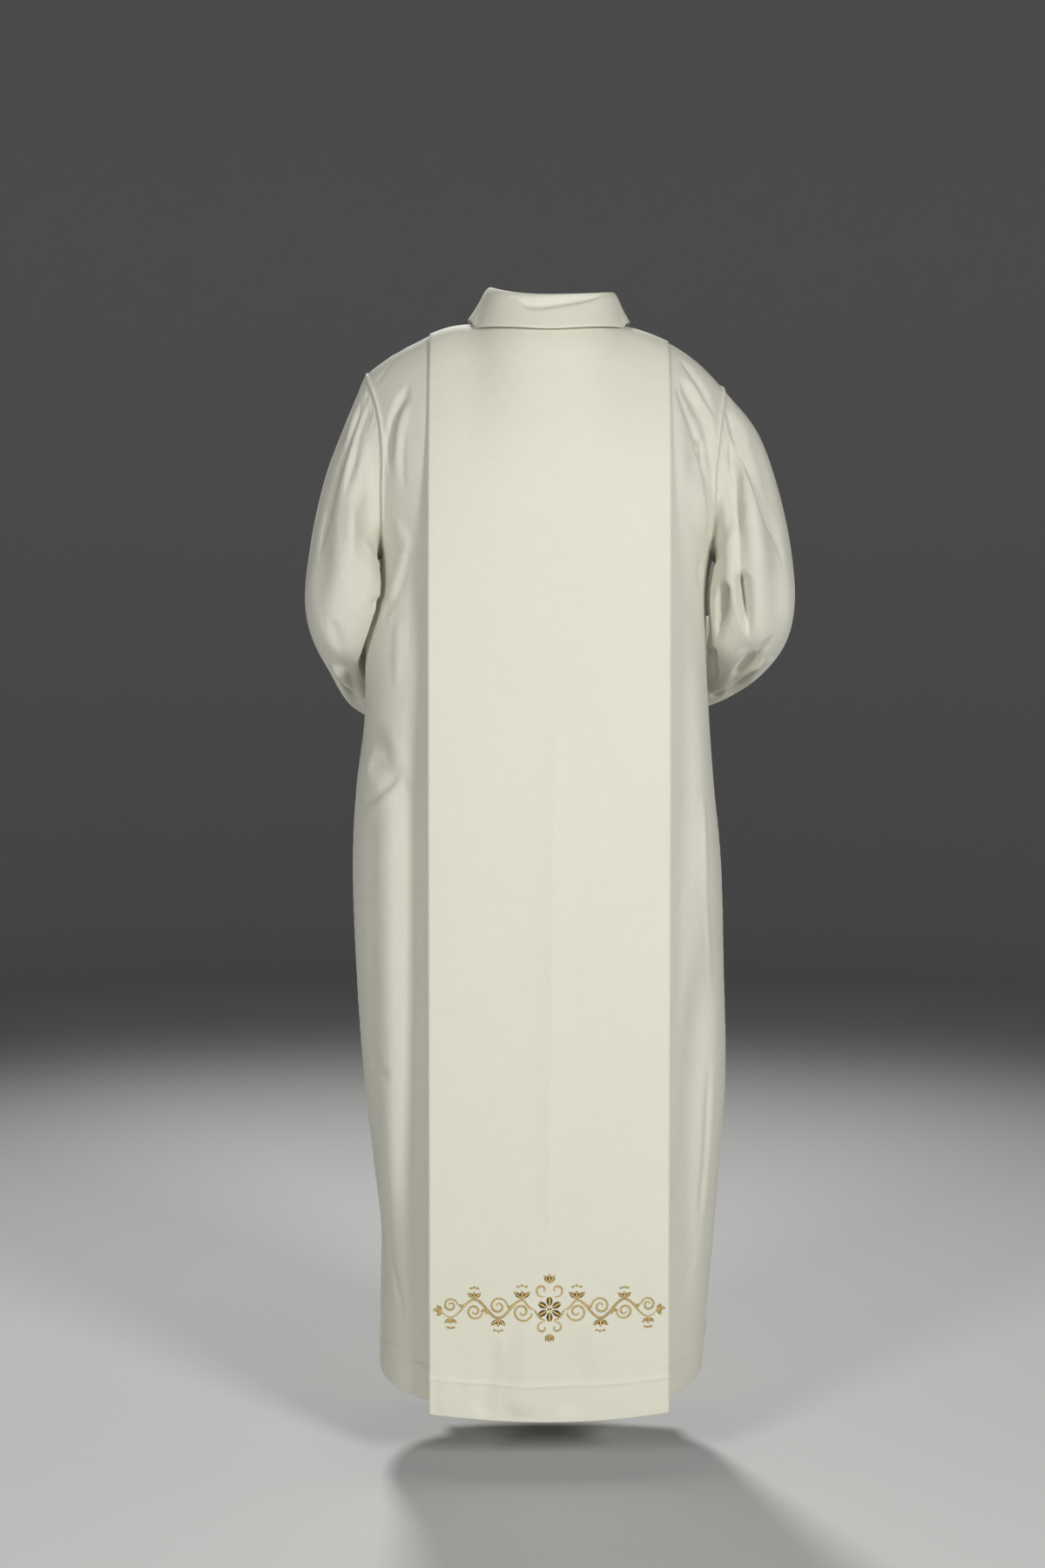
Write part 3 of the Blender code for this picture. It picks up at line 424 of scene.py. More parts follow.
# Creases, ridges out and hollows in, by the piece that has them and the side that their places are seen
# from. Half widths, depths and places are in millimetres. right and left are the half widths on either
# hand of someone who walks along it on the cloth's outer side. crisp above 1 makes a crease's top flatter,
# below 1 sharper; rise and fade are the shares over which its two ends ease in and out.
MM_PER_METRE = 1000
Crease = namedtuple("Crease", "right left depth crisp rise fade path")
CREASES = {
    ("alb_back", "behind"): (
        # Between the left armhole and the scapular.
        Crease(7, 22, -6, 0.9, 0.2, 0.3, ((182, 1427), (199, 1397), (209, 1370), (213, 1337), (211, 1296))),
        Crease(14, 14, 3.5, 1, 0.3, 0.4, ((182, 1408), (193, 1376), (199, 1337), (200, 1264))),
        Crease(6, 9, -2, 0.8, 0.3, 0.3, ((188, 1372), (192, 1331), (188, 1264))),
        Crease(6, 6, -2.5, 0.8, 0.2, 0.2, ((207, 1457), (218, 1441), (228, 1425))),
        Crease(30, 10, 4, 1, 0.25, 0.2, (
            (211, 1255), (197, 1237), (185, 1214), (189, 1194), (195, 1176), (205, 1151), (216, 1129),
        )),
        Crease(6, 12, -3.5, 0.8, 0.3, 0.2, (
            (184, 1221), (183, 1210), (186, 1192), (192, 1174), (203, 1149), (217, 1126), (232, 1110),
        )),
        Crease(6, 8, -2, 0.7, 0.3, 0.3, ((180, 1200), (180, 1140), (185, 1044))),
        Crease(14, 14, 2.5, 1, 0.35, 0.35, ((196, 1129), (198, 1072), (200, 1016))),
        Crease(9, 11, 3, 1, 0.35, 0.35, ((241, 945), (227, 938), (210, 935))),
        Crease(10, 8, -4, 0.9, 0.35, 0.35, ((241, 930), (229, 926), (212, 924))),
        Crease(9, 7, -3.5, 0.8, 0.2, 0.2, ((250, 873), (219, 895), (189, 924))),
        Crease(12, 9, 3.5, 0.9, 0.2, 0.2, ((250, 860), (216, 884), (187, 912))),
        Crease(9, 8, -4, 0.8, 0.2, 0.2, ((221, 294), (206, 248), (193, 195))),
        Crease(12, 12, -3, 1, 0.3, 0.3, ((242, 537), (227, 525), (204, 512))),
        # Between the scapular and the right armhole.
        Crease(6, 14, -4, 0.9, 0.2, 0.3, (
            (-169, 1460), (-183, 1439), (-196, 1420), (-206, 1400), (-219, 1373),
        )),
        Crease(9, 9, -4, 0.9, 0.25, 0.1, ((-162, 1436), (-172, 1401), (-183, 1370), (-192, 1345))),
        Crease(16, 13, -6.5, 1, 0.25, 0.3, (
            (-169, 1434), (-181, 1413), (-203, 1372), (-210, 1334), (-212, 1296),
        )),
        Crease(8, 13, -13, 0.7, 0.35, 0.5, ((-193, 1351), (-194, 1336), (-199, 1311))),
        Crease(30, 7, 5, 1, 0.3, 0.3, ((-191, 1327), (-198, 1293), (-204, 1257), (-210, 1217))),
        Crease(14, 9, -4, 1, 0.3, 0.3, ((-199, 1197), (-201, 1176), (-207, 1156))),
        Crease(8, 7, 3.5, 0.8, 0.2, 0.2, ((-202, 916), (-207, 760), (-220, 592))),
        Crease(12, 8, -5, 0.8, 0.3, 0.3, ((-214, 556), (-210, 423), (-199, 290))),
        Crease(9, 7, -3.5, 0.9, 0.2, 0.2, ((-197, 288), (-181, 249), (-164, 214))),
        Crease(7, 7, -4, 0.8, 0.3, 0.3, ((-198, 157), (-185, 141), (-173, 126))),
        Crease(7, 7, -4, 0.8, 0.3, 0.3, ((-205, 132), (-193, 127), (-179, 112))),
        Crease(9, 6, 3, 0.8, 0.3, 0.3, ((-208, 163), (-195, 152), (-184, 144))),
        Crease(4, 4, -1.2, 0.7, 0.2, 0.2, ((-158, 430), (-175, 426), (-192, 426))),
        Crease(4, 4, -1, 0.7, 0.2, 0.2, ((-159, 294), (-175, 291), (-190, 290))),
    ),
    ("sleeve_left", "behind"): (
        Crease(7, 19, -5, 0.8, 0.1, 0.3, (
            (248, 1405), (262, 1363), (276, 1322), (289, 1272), (299, 1224), (306, 1180),
        )),
        Crease(7, 20, -4.5, 0.8, 0.1, 0.4, ((239, 1395), (250, 1360), (259, 1316), (270, 1266))),
        Crease(26, 26, -5, 1, 0.35, 0.35, ((228, 1287), (237, 1242), (245, 1179), (253, 1117))),
        Crease(8, 26, 7, 1, 0.3, 0.1, ((296, 1061), (280, 1036), (264, 1018), (249, 1004))),
        Crease(7, 8, -11, 0.8, 0.1, 0.08, ((299, 1058), (283, 1033), (266, 1014), (249, 999))),
        Crease(10, 12, -4, 1, 0.35, 0.35, ((221, 1148), (222, 1140), (235, 1130))),
        Crease(14, 16, -3.5, 1, 0.4, 0.4, ((286, 1122), (278, 1092), (270, 1062))),
    ),
    ("sleeve_right", "behind"): (
        Crease(7, 24, -7, 0.8, 0.12, 0.12, (
            (-234, 1355), (-238, 1304), (-239, 1253), (-242, 1196), (-248, 1140), (-262, 1083),
        )),
        Crease(16, 16, 5, 1, 0.25, 0.2, ((-226, 1287), (-231, 1230), (-233, 1174), (-243, 1115))),
        Crease(8, 20, -18, 0.8, 0.2, 0.6, ((-245, 1182), (-249, 1151), (-255, 1117), (-263, 1078))),
        Crease(7, 22, -6, 0.8, 0.12, 0.35, (
            (-231, 1399), (-243, 1348), (-263, 1302), (-279, 1257), (-297, 1214), (-312, 1169),
        )),
        Crease(10, 18, -28, 0.8, 0.2, 0.5, ((-224, 1172), (-223, 1144), (-221, 1111), (-218, 1073))),
        Crease(14, 9, -12, 1, 0.1, 0.3, ((-214, 1079), (-219, 1058), (-228, 1026))),
        Crease(9, 9, 5, 1, 0.25, 0.25, ((-239, 1020), (-245, 1046), (-253, 1065), (-263, 1080))),
        Crease(8, 10, -10, 1, 0.25, 0.25, ((-269, 1070), (-260, 1054), (-251, 1037))),
        Crease(14, 14, -8, 1, 0.35, 0.35, ((-300, 1098), (-283, 1076), (-269, 1055), (-258, 1032))),
        Crease(26, 8, 7, 1, 0.35, 0.1, (
            (-305, 1066), (-281, 1051), (-260, 1035), (-239, 1018), (-225, 1006),
        )),
        Crease(12, 8, -13, 0.8, 0.1, 0.08, (
            (-308, 1070), (-287, 1050), (-262, 1029), (-240, 1013), (-225, 1001),
        )),
    ),
    ("scapular_back", "behind"): (
        Crease(40, 36, 3, 0.5, 0.25, 0.15, ((-6, 1051), (-4, 794), (-2, 535), (0, 284))),
        Crease(8, 8, 0.6, 0.5, 0.2, 0.2, ((-19, 444), (-19, 364), (-18, 279))),
        Crease(4, 4, -0.8, 0.6, 0.25, 0.25, ((17, 787), (-7, 787), (-32, 787))),
        Crease(4, 4, -0.6, 0.8, 0.25, 0.25, ((63, 783), (48, 782), (35, 783))),
        Crease(4, 4, -0.9, 0.6, 0.25, 0.25, ((35, 411), (12, 410), (-11, 411))),
        Crease(4, 4, -0.7, 0.8, 0.25, 0.25, ((48, 1445), (43, 1432), (34, 1421))),
        Crease(30, 34, 5, 1, 0.3, 0.1, ((21, 238), (30, 158), (40, 79))),
        Crease(24, 22, -5, 1, 0.4, 0.1, ((67, 192), (80, 134), (89, 81))),
        Crease(26, 30, -4, 1, 0.4, 0.1, ((-42, 204), (-35, 135), (-27, 82))),
        Crease(14, 20, 2, 1, 0.4, 0.1, ((126, 157), (135, 122), (142, 84))),
    ),
    ("collar_leaf", "behind"): (
        Crease(8, 15, -6.5, 0.9, 0.3, 0.3, (
            (54, 1541), (38, 1528), (21, 1522), (-4, 1524), (-33, 1529), (-65, 1537), (-86, 1543),
        )),
        Crease(8, 8, 1.5, 1, 0.3, 0.3, ((71, 1548), (58, 1540), (44, 1533))),
    ),
    ("alb_front", "ahead"): (
        Crease(7, 12, -4.8, 0.9, 0.18, 0.18, ((170, 1447), (196, 1402), (211, 1322))),
        Crease(8, 14, 5, 1, 0.2, 0.2, ((178, 1410), (192, 1362), (195, 1283))),
        Crease(9, 16, 4.5, 1, 0.35, 0.35, ((204, 1258), (190, 1236), (176, 1215), (184, 1180))),
        Crease(8, 9, -4, 1, 0.35, 0.35, ((203, 1236), (193, 1217), (186, 1198))),
        Crease(9, 11, 3.2, 1, 0.25, 0.25, ((186, 1172), (191, 1105), (189, 1030))),
        Crease(8, 6, -4, 0.8, 0.2, 0.2, ((236, 985), (219, 958), (193, 941))),
        Crease(9, 7, 3.5, 0.9, 0.2, 0.2, ((240, 846), (214, 868), (186, 903))),
        Crease(7, 12, -4.5, 0.9, 0.2, 0.2, ((209, 720), (213, 560), (206, 398))),
        Crease(10, 12, 4, 1, 0.25, 0.25, ((190, 385), (203, 290), (196, 190))),
        Crease(6, 6, -3.5, 0.8, 0.2, 0.2, ((-168, 1455), (-186, 1430), (-204, 1395))),
        Crease(9, 12, 6, 0.9, 0.2, 0.2, ((-171, 1423), (-188, 1371), (-198, 1297))),
        Crease(6, 9, -5.5, 0.8, 0.15, 0.15, ((-189, 1408), (-202, 1357), (-207, 1306))),
        Crease(16, 9, 4, 1, 0.35, 0.35, ((-204, 1262), (-190, 1230), (-176, 1212))),
        Crease(10, 10, -4, 1, 0.25, 0.25, ((-206, 1181), (-208, 1120), (-202, 1052))),
        Crease(7, 6, 3.5, 0.8, 0.2, 0.2, ((-198, 880), (-203, 735), (-214, 588))),
        Crease(6, 10, -4.5, 0.8, 0.2, 0.2, ((-211, 540), (-206, 430), (-192, 310))),
        Crease(7, 7, -3, 0.8, 0.2, 0.2, ((-186, 250), (-182, 200), (-169, 158))),
    ),
    ("sleeve_left", "ahead"): (
        Crease(5, 8, -4, 0.8, 0.15, 0.15, ((243, 1398), (262, 1325), (276, 1255), (284, 1180))),
        Crease(9, 11, 4, 1, 0.2, 0.2, ((232, 1372), (243, 1318), (254, 1255))),
        Crease(6, 9, 3.5, 0.9, 0.2, 0.2, ((262, 1290), (285, 1212), (300, 1130))),
        Crease(8, 12, -8, 0.9, 0.15, 0.15, ((236, 1232), (262, 1165), (290, 1112))),
        Crease(9, 6, 5.5, 0.9, 0.2, 0.2, ((228, 1190), (252, 1135), (284, 1089))),
        Crease(14, 11, -6, 1, 0.35, 0.35, ((232, 1140), (254, 1096), (281, 1066))),
        Crease(12, 20, 3.5, 1, 0.4, 0.4, ((249, 1062), (232, 1015), (210, 985))),
    ),
    ("sleeve_right", "ahead"): (
        Crease(7, 5, -4.5, 0.8, 0.15, 0.15, ((-236, 1388), (-252, 1325), (-266, 1262), (-276, 1200))),
        Crease(10, 8, 4, 0.9, 0.2, 0.2, ((-248, 1345), (-275, 1272), (-292, 1190))),
        Crease(8, 12, 5, 0.9, 0.2, 0.2, ((-226, 1238), (-252, 1180), (-286, 1134))),
        Crease(9, 6, -8, 0.8, 0.15, 0.15, ((-229, 1205), (-255, 1149), (-291, 1110))),
        Crease(12, 18, 5, 1, 0.35, 0.35, ((-231, 1156), (-259, 1110), (-290, 1084))),
        Crease(14, 11, -6, 1, 0.35, 0.35, ((-225, 1118), (-247, 1078), (-272, 1058))),
    ),
    ("scapular_front", "ahead"): (
        Crease(38, 36, 2.4, 0.5, 0.2, 0.2, ((2, 1060), (-1, 700), (3, 300))),
        Crease(4, 4, -0.6, 0.6, 0.25, 0.25, ((20, 860), (-4, 858), (-34, 861))),
        Crease(4, 4, -0.7, 0.6, 0.25, 0.25, ((40, 480), (12, 483), (-14, 480))),
        Crease(28, 28, 3, 1, 0.1, 0.1, ((-62, 262), (-55, 190), (-60, 105))),
        Crease(22, 22, -2, 1, 0.25, 0.25, ((-104, 1470), (-108, 1420), (-103, 1352))),
        Crease(20, 20, -2.5, 1, 0.1, 0.1, ((86, 236), (81, 170), (87, 104))),
    ),
}

# A crease's line is followed in steps. Where several layers lie behind each other, the nearest one within
# the feel carries it, and its ends narrow to a share of its width.
CREASE_STEPS = 24
CREASE_FEEL = 0.004
CREASE_POINT = 0.35

# Sewn edges: how wide a strip beside them stays calm, the ridge that the turned-in cloth raises,
# and its puckers.
SEAM_CALM = 0.010
SCAPULAR_CALM = 0.160
Seam = namedtuple("Seam", "rise at half pucker reach")
SEAMS = {
    "alb": Seam(0.0009, 0.0045, 0.0035, 0.0004, 0.022),
    "sleeve": Seam(0.0, 0.0070, 0.0060, 0.0009, 0.030),
    "scapular": Seam(0.0, 0.0045, 0.0035, 0.0, 0.010),
    "collar": Seam(0.0, 0.0045, 0.0035, 0.0, 0.010),
}
ARMHOLE_RISE = 0.0026
ARMHOLE_AT = 0.0035
ARMHOLE_HALF = 0.0035
ARMHOLE_FADE = 0.060
Pucker = namedtuple("Pucker", "turn start share")
PUCKERS = (Pucker(310.0, 0.4, 0.5), Pucker(473.0, 2.1, 0.3), Pucker(727.0, 4.4, 0.2))

# The turned-up hems stand out a little, most along their upper fold.
HEM_RISE = 0.0009
HEM_RIDGE = 0.0010
HEM_RIDGE_HALF = 0.0026

# How often the bends across the scapular are rounded.
EASE_ROUNDS = 30

# How many of the scapular's rows nearest the neck keep one direction out, and how coarsely the cloth on
# the shoulders is felt for.
NECK_ROWS = 4
REST_STEP = 5


def through(knots, values, at):
    """A smooth curve through values at rising knots, read at each place in at."""
    knots = np.asarray(knots, float)
    values = np.asarray(values, float)
    at = np.clip(np.asarray(at, float), knots[0], knots[-1])
    chords = np.diff(values, axis=0) / np.diff(knots).reshape((-1,) + (1,) * (values.ndim - 1))
    slopes = np.concatenate([chords[:1], (chords[1:] + chords[:-1]) / 2, chords[-1:]])
    first = np.clip(np.searchsorted(knots, at, side="right") - 1, 0, len(knots) - 2)
    span = knots[first + 1] - knots[first]
    t = (at - knots[first]) / span
    shape = t.shape + (1,) * (values.ndim - 1)
    t = t.reshape(shape)
    span = span.reshape(shape)
    return (
        values[first] * (1 + 2 * t) * (1 - t) ** 2
        + slopes[first] * span * t * (1 - t) ** 2
        + values[first + 1] * t**2 * (3 - 2 * t)
        - slopes[first + 1] * span * t**2 * (1 - t)
    )


def smooth_step(value):
    """0 below 0, 1 above 1, and a soft rise between."""
    value = np.clip(value, 0.0, 1.0)
    return value * value * (3 - 2 * value)


def bump(distance):
    """1 at distance 0, falling softly to 0 at distance 1."""
    return 0.5 + 0.5 * np.cos(np.pi * np.clip(np.abs(distance), 0.0, 1.0))


def unit(ways):
    """The same ways, each made one long."""
    return ways / np.linalg.norm(ways, axis=-1, keepdims=True)


def section_column(name, height):
    """One measure of the robe's rings, read at a height."""
    heights = [section.height for section in BODY_SECTIONS]
    return through(heights, [getattr(section, name) for section in BODY_SECTIONS], height)


def half_width(across, height):
    """The robe's half width at a height, on the side where across points."""
    return np.where(across >= 0, section_column("left", height), section_column("right", height))


def round_neck(turns, aside, behind, ahead):
    """Places round the neck, by a turn of 0 at the middle front, 90 at the left and 180 behind.

    aside, behind and ahead are how far out the line lies there. Gives x, y and the shares behind and ahead.
    """
    turn = np.radians(turns)
    to_back = np.clip(-np.cos(turn), 0, 1)
    to_front = np.clip(np.cos(turn), 0, 1)
    return aside * np.sin(turn), behind * to_back - ahead * to_front, to_back, to_front


def neck_line(turns, inset=0.0):
    """Points of the neck seam, lowest in front."""
    reaches = (NECK_HALF_WIDTH - inset, NECK_BACK - inset, NECK_FRONT - inset)
    x, y, to_back, to_front = round_neck(turns, *reaches)
    height = (
        NECK_SIDE_HEIGHT
        + (NECK_BACK_HEIGHT - NECK_SIDE_HEIGHT) * to_back
        + (NECK_FRONT_HEIGHT - NECK_SIDE_HEIGHT) * to_front**NECK_DIP
    )
    return np.stack([x, y, height], axis=-1)


def panel_columns():
    """Places across a panel from its right seam at -1 to its left one at 1.

    The columns inside the neck's share of the panel keep equal turns round the neck seam.
    """
    neck = np.linspace(0, 1, NECK_COLUMNS + 1) * neck_share()
    shoulder = np.linspace(neck_share(), 1 - SEAM_COLUMNS[0], SHOULDER_COLUMNS + 1)[1:-1]
    half = np.concatenate([neck, shoulder, 1 - np.array(SEAM_COLUMNS), [1]])
    return np.concatenate([-half[:0:-1], half])


def neck_share():
    """The share of a panel's half that ends at the neck: its columns draw in towards it from below."""
    reach = (NECK_COLUMN_REACH / section_column("left", ARMPIT_HEIGHT)) ** (RING_POWER / 2)
    return math.asin(float(reach)) / (math.pi / 2)


def top_edge(panel, columns):
    """The upper edge of a panel: shoulder seam, neck seam, shoulder seam."""
    share = neck_share()
    edge = np.empty((len(columns), 3))
    for index, column in enumerate(columns):
        reach = abs(column)
        if reach < share - ROUNDING:
            turn = 90 * reach / share
            edge[index] = neck_line(turn if panel == "front" else 180 - turn)
        else:
            seam = SHOULDER_SEAM["left" if column > 0 else "right"]
            across = seam[0].across + (seam[-1].across - seam[0].across) * (reach - share) / (1 - share)
            places = [point.across for point in seam]
            height = through(places, [point.height for point in seam], across)
            edge[index] = (across, panel_sign(panel) * SEAM_GAP, height)
    edge[:, 0] *= np.sign(columns)
    return edge


def panel_sign(panel):
    """The back lies towards +Y and the front towards -Y."""
    return 1 if panel == "back" else -1


def ring_point(panel, columns, height, cut=1.0):
    """Where each column meets the robe's ring at a height. A cut under 1 stops short of the side seam."""
    turn = np.abs(columns) * cut * np.pi / 2
    power = 2 / RING_POWER
    across = np.sign(columns) * np.sin(turn) ** power * half_width(columns, height)
    depth = np.clip(np.cos(turn), 0, 1) ** power * section_column(panel, height)
    return across, panel_sign(panel) * depth


def hem_height(panel, columns):
    """The hem lies lowest at the middle of each panel."""
    drop = BACK_HEM_DROP if panel == "back" else FRONT_HEM_DROP
    return SIDE_HEM_HEIGHT - drop * np.clip(np.cos(columns * np.pi / 2), 0, 1) ** (2 / RING_POWER)


def pocket_opening(height):
    """How far the side seam is open at a height: a narrow slit for the hand."""
    middle = (POCKET_TOP + POCKET_BOTTOM) / 2
    return (POCKET_GAP - SEAM_GAP) / 2 * bump((height - middle) / (POCKET_TOP - middle))


def fold_relief(folds, part, across, along, full_turn=None):
    """How far a part's folds move its places in or out. Where across turns round, full_turn is one turn."""
    moved = np.zeros(np.broadcast(across, along).shape)
    for fold in folds:
        if fold.part != part:
            continue
        share = (along - fold.start_along) / (fold.end_along - fold.start_along)
        centre = fold.start_across + (fold.end_across - fold.start_across) * np.clip(share, 0, 1)
        away = across - centre
        if full_turn:
            away = (away + full_turn / 2) % full_turn - full_turn / 2
        # A fold rises and dies away softly at its ends.
        shown = smooth_step(share / FOLD_FADE) * smooth_step((1 - share) / FOLD_FADE)
        moved += fold.depth * shown * bump(away / fold.half_width)
    return moved


def with_folds(panel, points):
    """The points moved in and out by the folds of that panel."""
    x, y, height = points[..., 0], points[..., 1], points[..., 2]
    # A fold dies away towards the side seam, where the two panels stay together.
    moved = fold_relief(BODY_FOLDS, panel, x, height) * smooth_step(np.abs(y) / SIDE_CALM)
    width = section_column("left", height)
    depth = section_column(panel, height)
    folded = points.copy()
    folded[..., :2] += unit(np.stack([x / width**2, y / depth**2], axis=-1)) * moved[..., None]
    return folded


def skirt_rows(panel, columns):
    """The rows of a panel from its hem up to the armpits."""
    hem = hem_height(panel, columns)
    start = hem + BODY_HEM
    shares = np.linspace(0, 1, SKIRT_ROWS + 1 - len(ABOVE_HEM))[1:]
    heights = [hem + BODY_HEM * share for share in HEM_SHARES]
    heights += [start + (ARMPIT_HEIGHT - start) * share for share in (*ABOVE_HEM, *shares)]
    rows = []
    for height in heights:
        across, depth = ring_point(panel, columns, height)
        seam = panel_sign(panel) * (SEAM_GAP / 2 + pocket_opening(height))
        depth = np.where(np.abs(columns) == 1, seam, depth)
        rows.append(np.stack([across, depth, height], axis=-1))
    return rows


def yoke_rows(panel, columns):
    """The rows of a panel from the armpits up: they draw in to the neck and turn over to the seams."""
    top = top_edge(panel, columns)
    power = 2 / SHOULDER_POWER
    rows = []
    for share in np.linspace(0, 1, YOKE_ROWS + 1)[1:]:
        rise = math.sin(share * math.pi / 2) ** power
        lean = max(math.cos(share * math.pi / 2), 0.0) ** power
        gather = max((share - GATHER_START) / (1 - GATHER_START), 0.0) ** 2
        cut = 1 - ARMHOLE_CUT * max(math.sin(share * math.pi), 0.0) ** ARMHOLE_POWER
        height = ARMPIT_HEIGHT + (top[:, 2] - ARMPIT_HEIGHT) * rise
        across, depth = ring_point(panel, columns, height, cut)
        x = across + (top[:, 0] - across) * gather
        y = top[:, 1] + (depth - top[:, 1]) * lean
        rows.append(np.stack([x, y, height], axis=-1))
    return rows


@functools.lru_cache(maxsize=None)
def panel_surface(panel):
    """The outer face of the robe's back or front, as rows of points from the hem up to the shoulders."""
    columns = panel_columns()
    return with_folds(panel, np.array(skirt_rows(panel, columns) + yoke_rows(panel, columns)))


@functools.lru_cache(maxsize=None)
def scapular_surface(panel):
    """The scapular's outer face: the panel below it moved out, hanging flatter than the robe does."""
    sign = panel_sign(panel)
    places = np.linspace(-SCAPULAR_HALF_WIDTH, SCAPULAR_HALF_WIDTH, SCAPULAR_COLUMNS + 1)
    rows = []
    for row in panel_surface(panel):
        rows.append(np.stack([np.interp(places, row[:, 0], row[:, i]) for i in range(3)], axis=-1))
    surface = np.array(rows)
    surface[..., 0] = places
    hem = SCAPULAR_BACK_HEM if panel == "back" else SCAPULAR_FRONT_HEM
    hem = hem + SCAPULAR_CORNER_RISE * (places / SCAPULAR_HALF_WIDTH) ** 2
    lower = surface[0, :, 2]
    below = np.clip((LENGTHEN_BELOW - surface[..., 2]) / (LENGTHEN_BELOW - lower), 0, 1)
    surface[..., 2] += (hem - lower) * below
    centre = SCAPULAR_COLUMNS // 2
    middle = surface[:, centre : centre + 1, 1]
    drop = np.where(places > 0, LEFT_EDGE_DROP, RIGHT_EDGE_DROP)
    drop = drop * np.abs(places / SCAPULAR_HALF_WIDTH) ** EDGE_DROP_POWER
    hanging = 1 - smooth_step((surface[..., 2] - HANG_BELOW) / (REST_ABOVE - HANG_BELOW))
    stand_off = np.clip(sign * (middle - surface[..., 1]) - drop, 0, None) + SCAPULAR_SWING
    facing = normals_of(surface) * sign
    on_neck = np.abs(places) < NECK_HALF_WIDTH - SEAM_GAP
    facing[-NECK_ROWS:, on_neck] = facing[-NECK_ROWS - 1, on_neck]
    surface += facing * (CLOTH + SCAPULAR_CLEARANCE)
    surface[..., 1] += sign * stand_off * hanging
    surface[..., 0] = places
    surface[-1, ~on_neck, 1] = sign * SEAM_GAP
    return surface


def normals_of(surface):
    """Unit directions square to a surface given as rows of points."""
    return unit(np.cross(np.gradient(surface, axis=0), np.gradient(surface, axis=1)))


def armhole(side):
    """The armhole from the shoulder down the back and up the front, and the way out of the panels there."""
    edge, inside = (-1, -1 - ARMHOLE_FEEL) if side == "left" else (0, ARMHOLE_FEEL)
    armpit_row = len(HEM_SHARES) - 1 + SKIRT_ROWS
    seams, ways = [], []
    for panel in ("back", "front"):
        surface = panel_surface(panel)[armpit_row:]
        seams.append(surface[:, edge])
        ways.append(surface[:, edge] - surface[:, inside])
    seam = np.concatenate([seams[0][::-1], seams[1][1:-1]])
    outward = np.concatenate([ways[0][::-1], ways[1][1:-1]])
    for corner in (0, YOKE_ROWS):
        seam[corner, 1] = outward[corner, 1] = 0
    outward[YOKE_ROWS] = ARMPIT_WAY if side == "left" else np.array(ARMPIT_WAY) * (-1, 1, 1)
    return seam, unit(outward)


@functools.lru_cache(maxsize=None)
def sleeve_surface(side):
    """The sleeve's outer face, as rings of points from the armhole to the cuff."""
    sign = 1 if side == "left" else -1
    seam, outward = armhole(side)
    turns = np.arange(2 * YOKE_ROWS) * math.pi / YOKE_ROWS
    sections = np.array(SLEEVE_SECTIONS[side])
    outer, inner = sections[:, :3], sections[:, 3:6]
    middles = (outer + inner) / 2
    ways = np.gradient(middles, axis=0)
    ways[0] = SLEEVE_HEAD_WAY
    rings = [seam + outward * SEAM_GAP]
    for reach, middle, way, (under, over) in zip((outer - inner) / 2, middles, ways, sections[:, 6:]):
        behind = unit(np.cross(reach, way))
        size = np.where(np.sin(turns) > 0, under, over)
        ring = middle + reach * np.cos(turns)[:, None] + behind * (size * np.sin(turns))[:, None]
        rings.append(ring * (sign, 1, 1))
    # The folds' rows count the source's rings, so each fine ring keeps its place among those.
    coarse = [first + np.arange(steps) / steps for first, steps in enumerate(SLEEVE_STEPS)]
    coarse = np.append(np.concatenate(coarse), len(rings) - 1)
    row = np.linspace(0, len(coarse) - 1, SLEEVE_RINGS + 1)
    row = np.concatenate([[0], np.array(SEAM_RINGS) * row[1], row[1:]])
    station = np.interp(row, np.arange(len(coarse)), coarse)
    tube = through(np.arange(len(rings)), np.array(rings), station)
    return clear_of_robe(sleeve_folds(side, tube, row), row)


def clear_of_robe(tube, row):
    """The tube's points, those that would lie in the robe's body moved straight out to rest beside it."""
    x, y, height = tube[..., 0], tube[..., 1], tube[..., 2]
    width = half_width(x, height)
    depth = np.where(y > 0, section_column("back", height), section_column("front", height))
    rise = np.clip((height - ARMPIT_HEIGHT) / (NECK_HEIGHT - ARMPIT_HEIGHT), 0, 1)
    depth = depth * np.sqrt(1 - rise**2)
    reached = (np.abs(x / width) ** RING_POWER + np.abs(y / depth) ** RING_POWER) ** (1 / RING_POWER)
    wanted = 1 + SLEEVE_CLEARANCE / width * smooth_step(row[:, None] / SLEEVE_CLEAR_ROWS)
    grow = np.where(height < SLEEVE_CLEAR_TOP, np.maximum(wanted / reached, 1.0), 1.0)
    grow = 1 + (grow - 1) * smooth_step(row[:, None])
    return tube * np.stack([grow, grow, np.ones_like(grow)], axis=-1)


def sleeve_folds(side, tube, row):
    """The tube's rings moved in and out by that sleeve's folds."""
    turns = np.arange(tube.shape[1])[None, :] * 180 / YOKE_ROWS
    moved = fold_relief(SLEEVE_FOLDS, side, turns, row[:, None], full_turn=360)
    return tube + unit(tube - tube.mean(axis=1, keepdims=True)) * moved[..., None]


def collar_fold(turns):
    """The line along which the collar turns down, higher and narrower on the wearer's left."""
    left = smooth_step(0.5 + 0.5 * np.sin(np.radians(turns)))
    reach = COLLAR_RIGHT.reach + (COLLAR_LEFT.reach - COLLAR_RIGHT.reach) * left
    side_height = COLLAR_RIGHT.height + (COLLAR_LEFT.height - COLLAR_RIGHT.height) * left
    x, y, to_back, to_front = round_neck(turns, reach, COLLAR_BACK.reach, COLLAR_FRONT.reach)
    height = (
        side_height
        + (COLLAR_BACK.height - side_height) * to_back**COLLAR_DIP
        + (COLLAR_FRONT.height - side_height) * to_front**COLLAR_DIP
    )
    return np.stack([x, y, height], axis=-1)


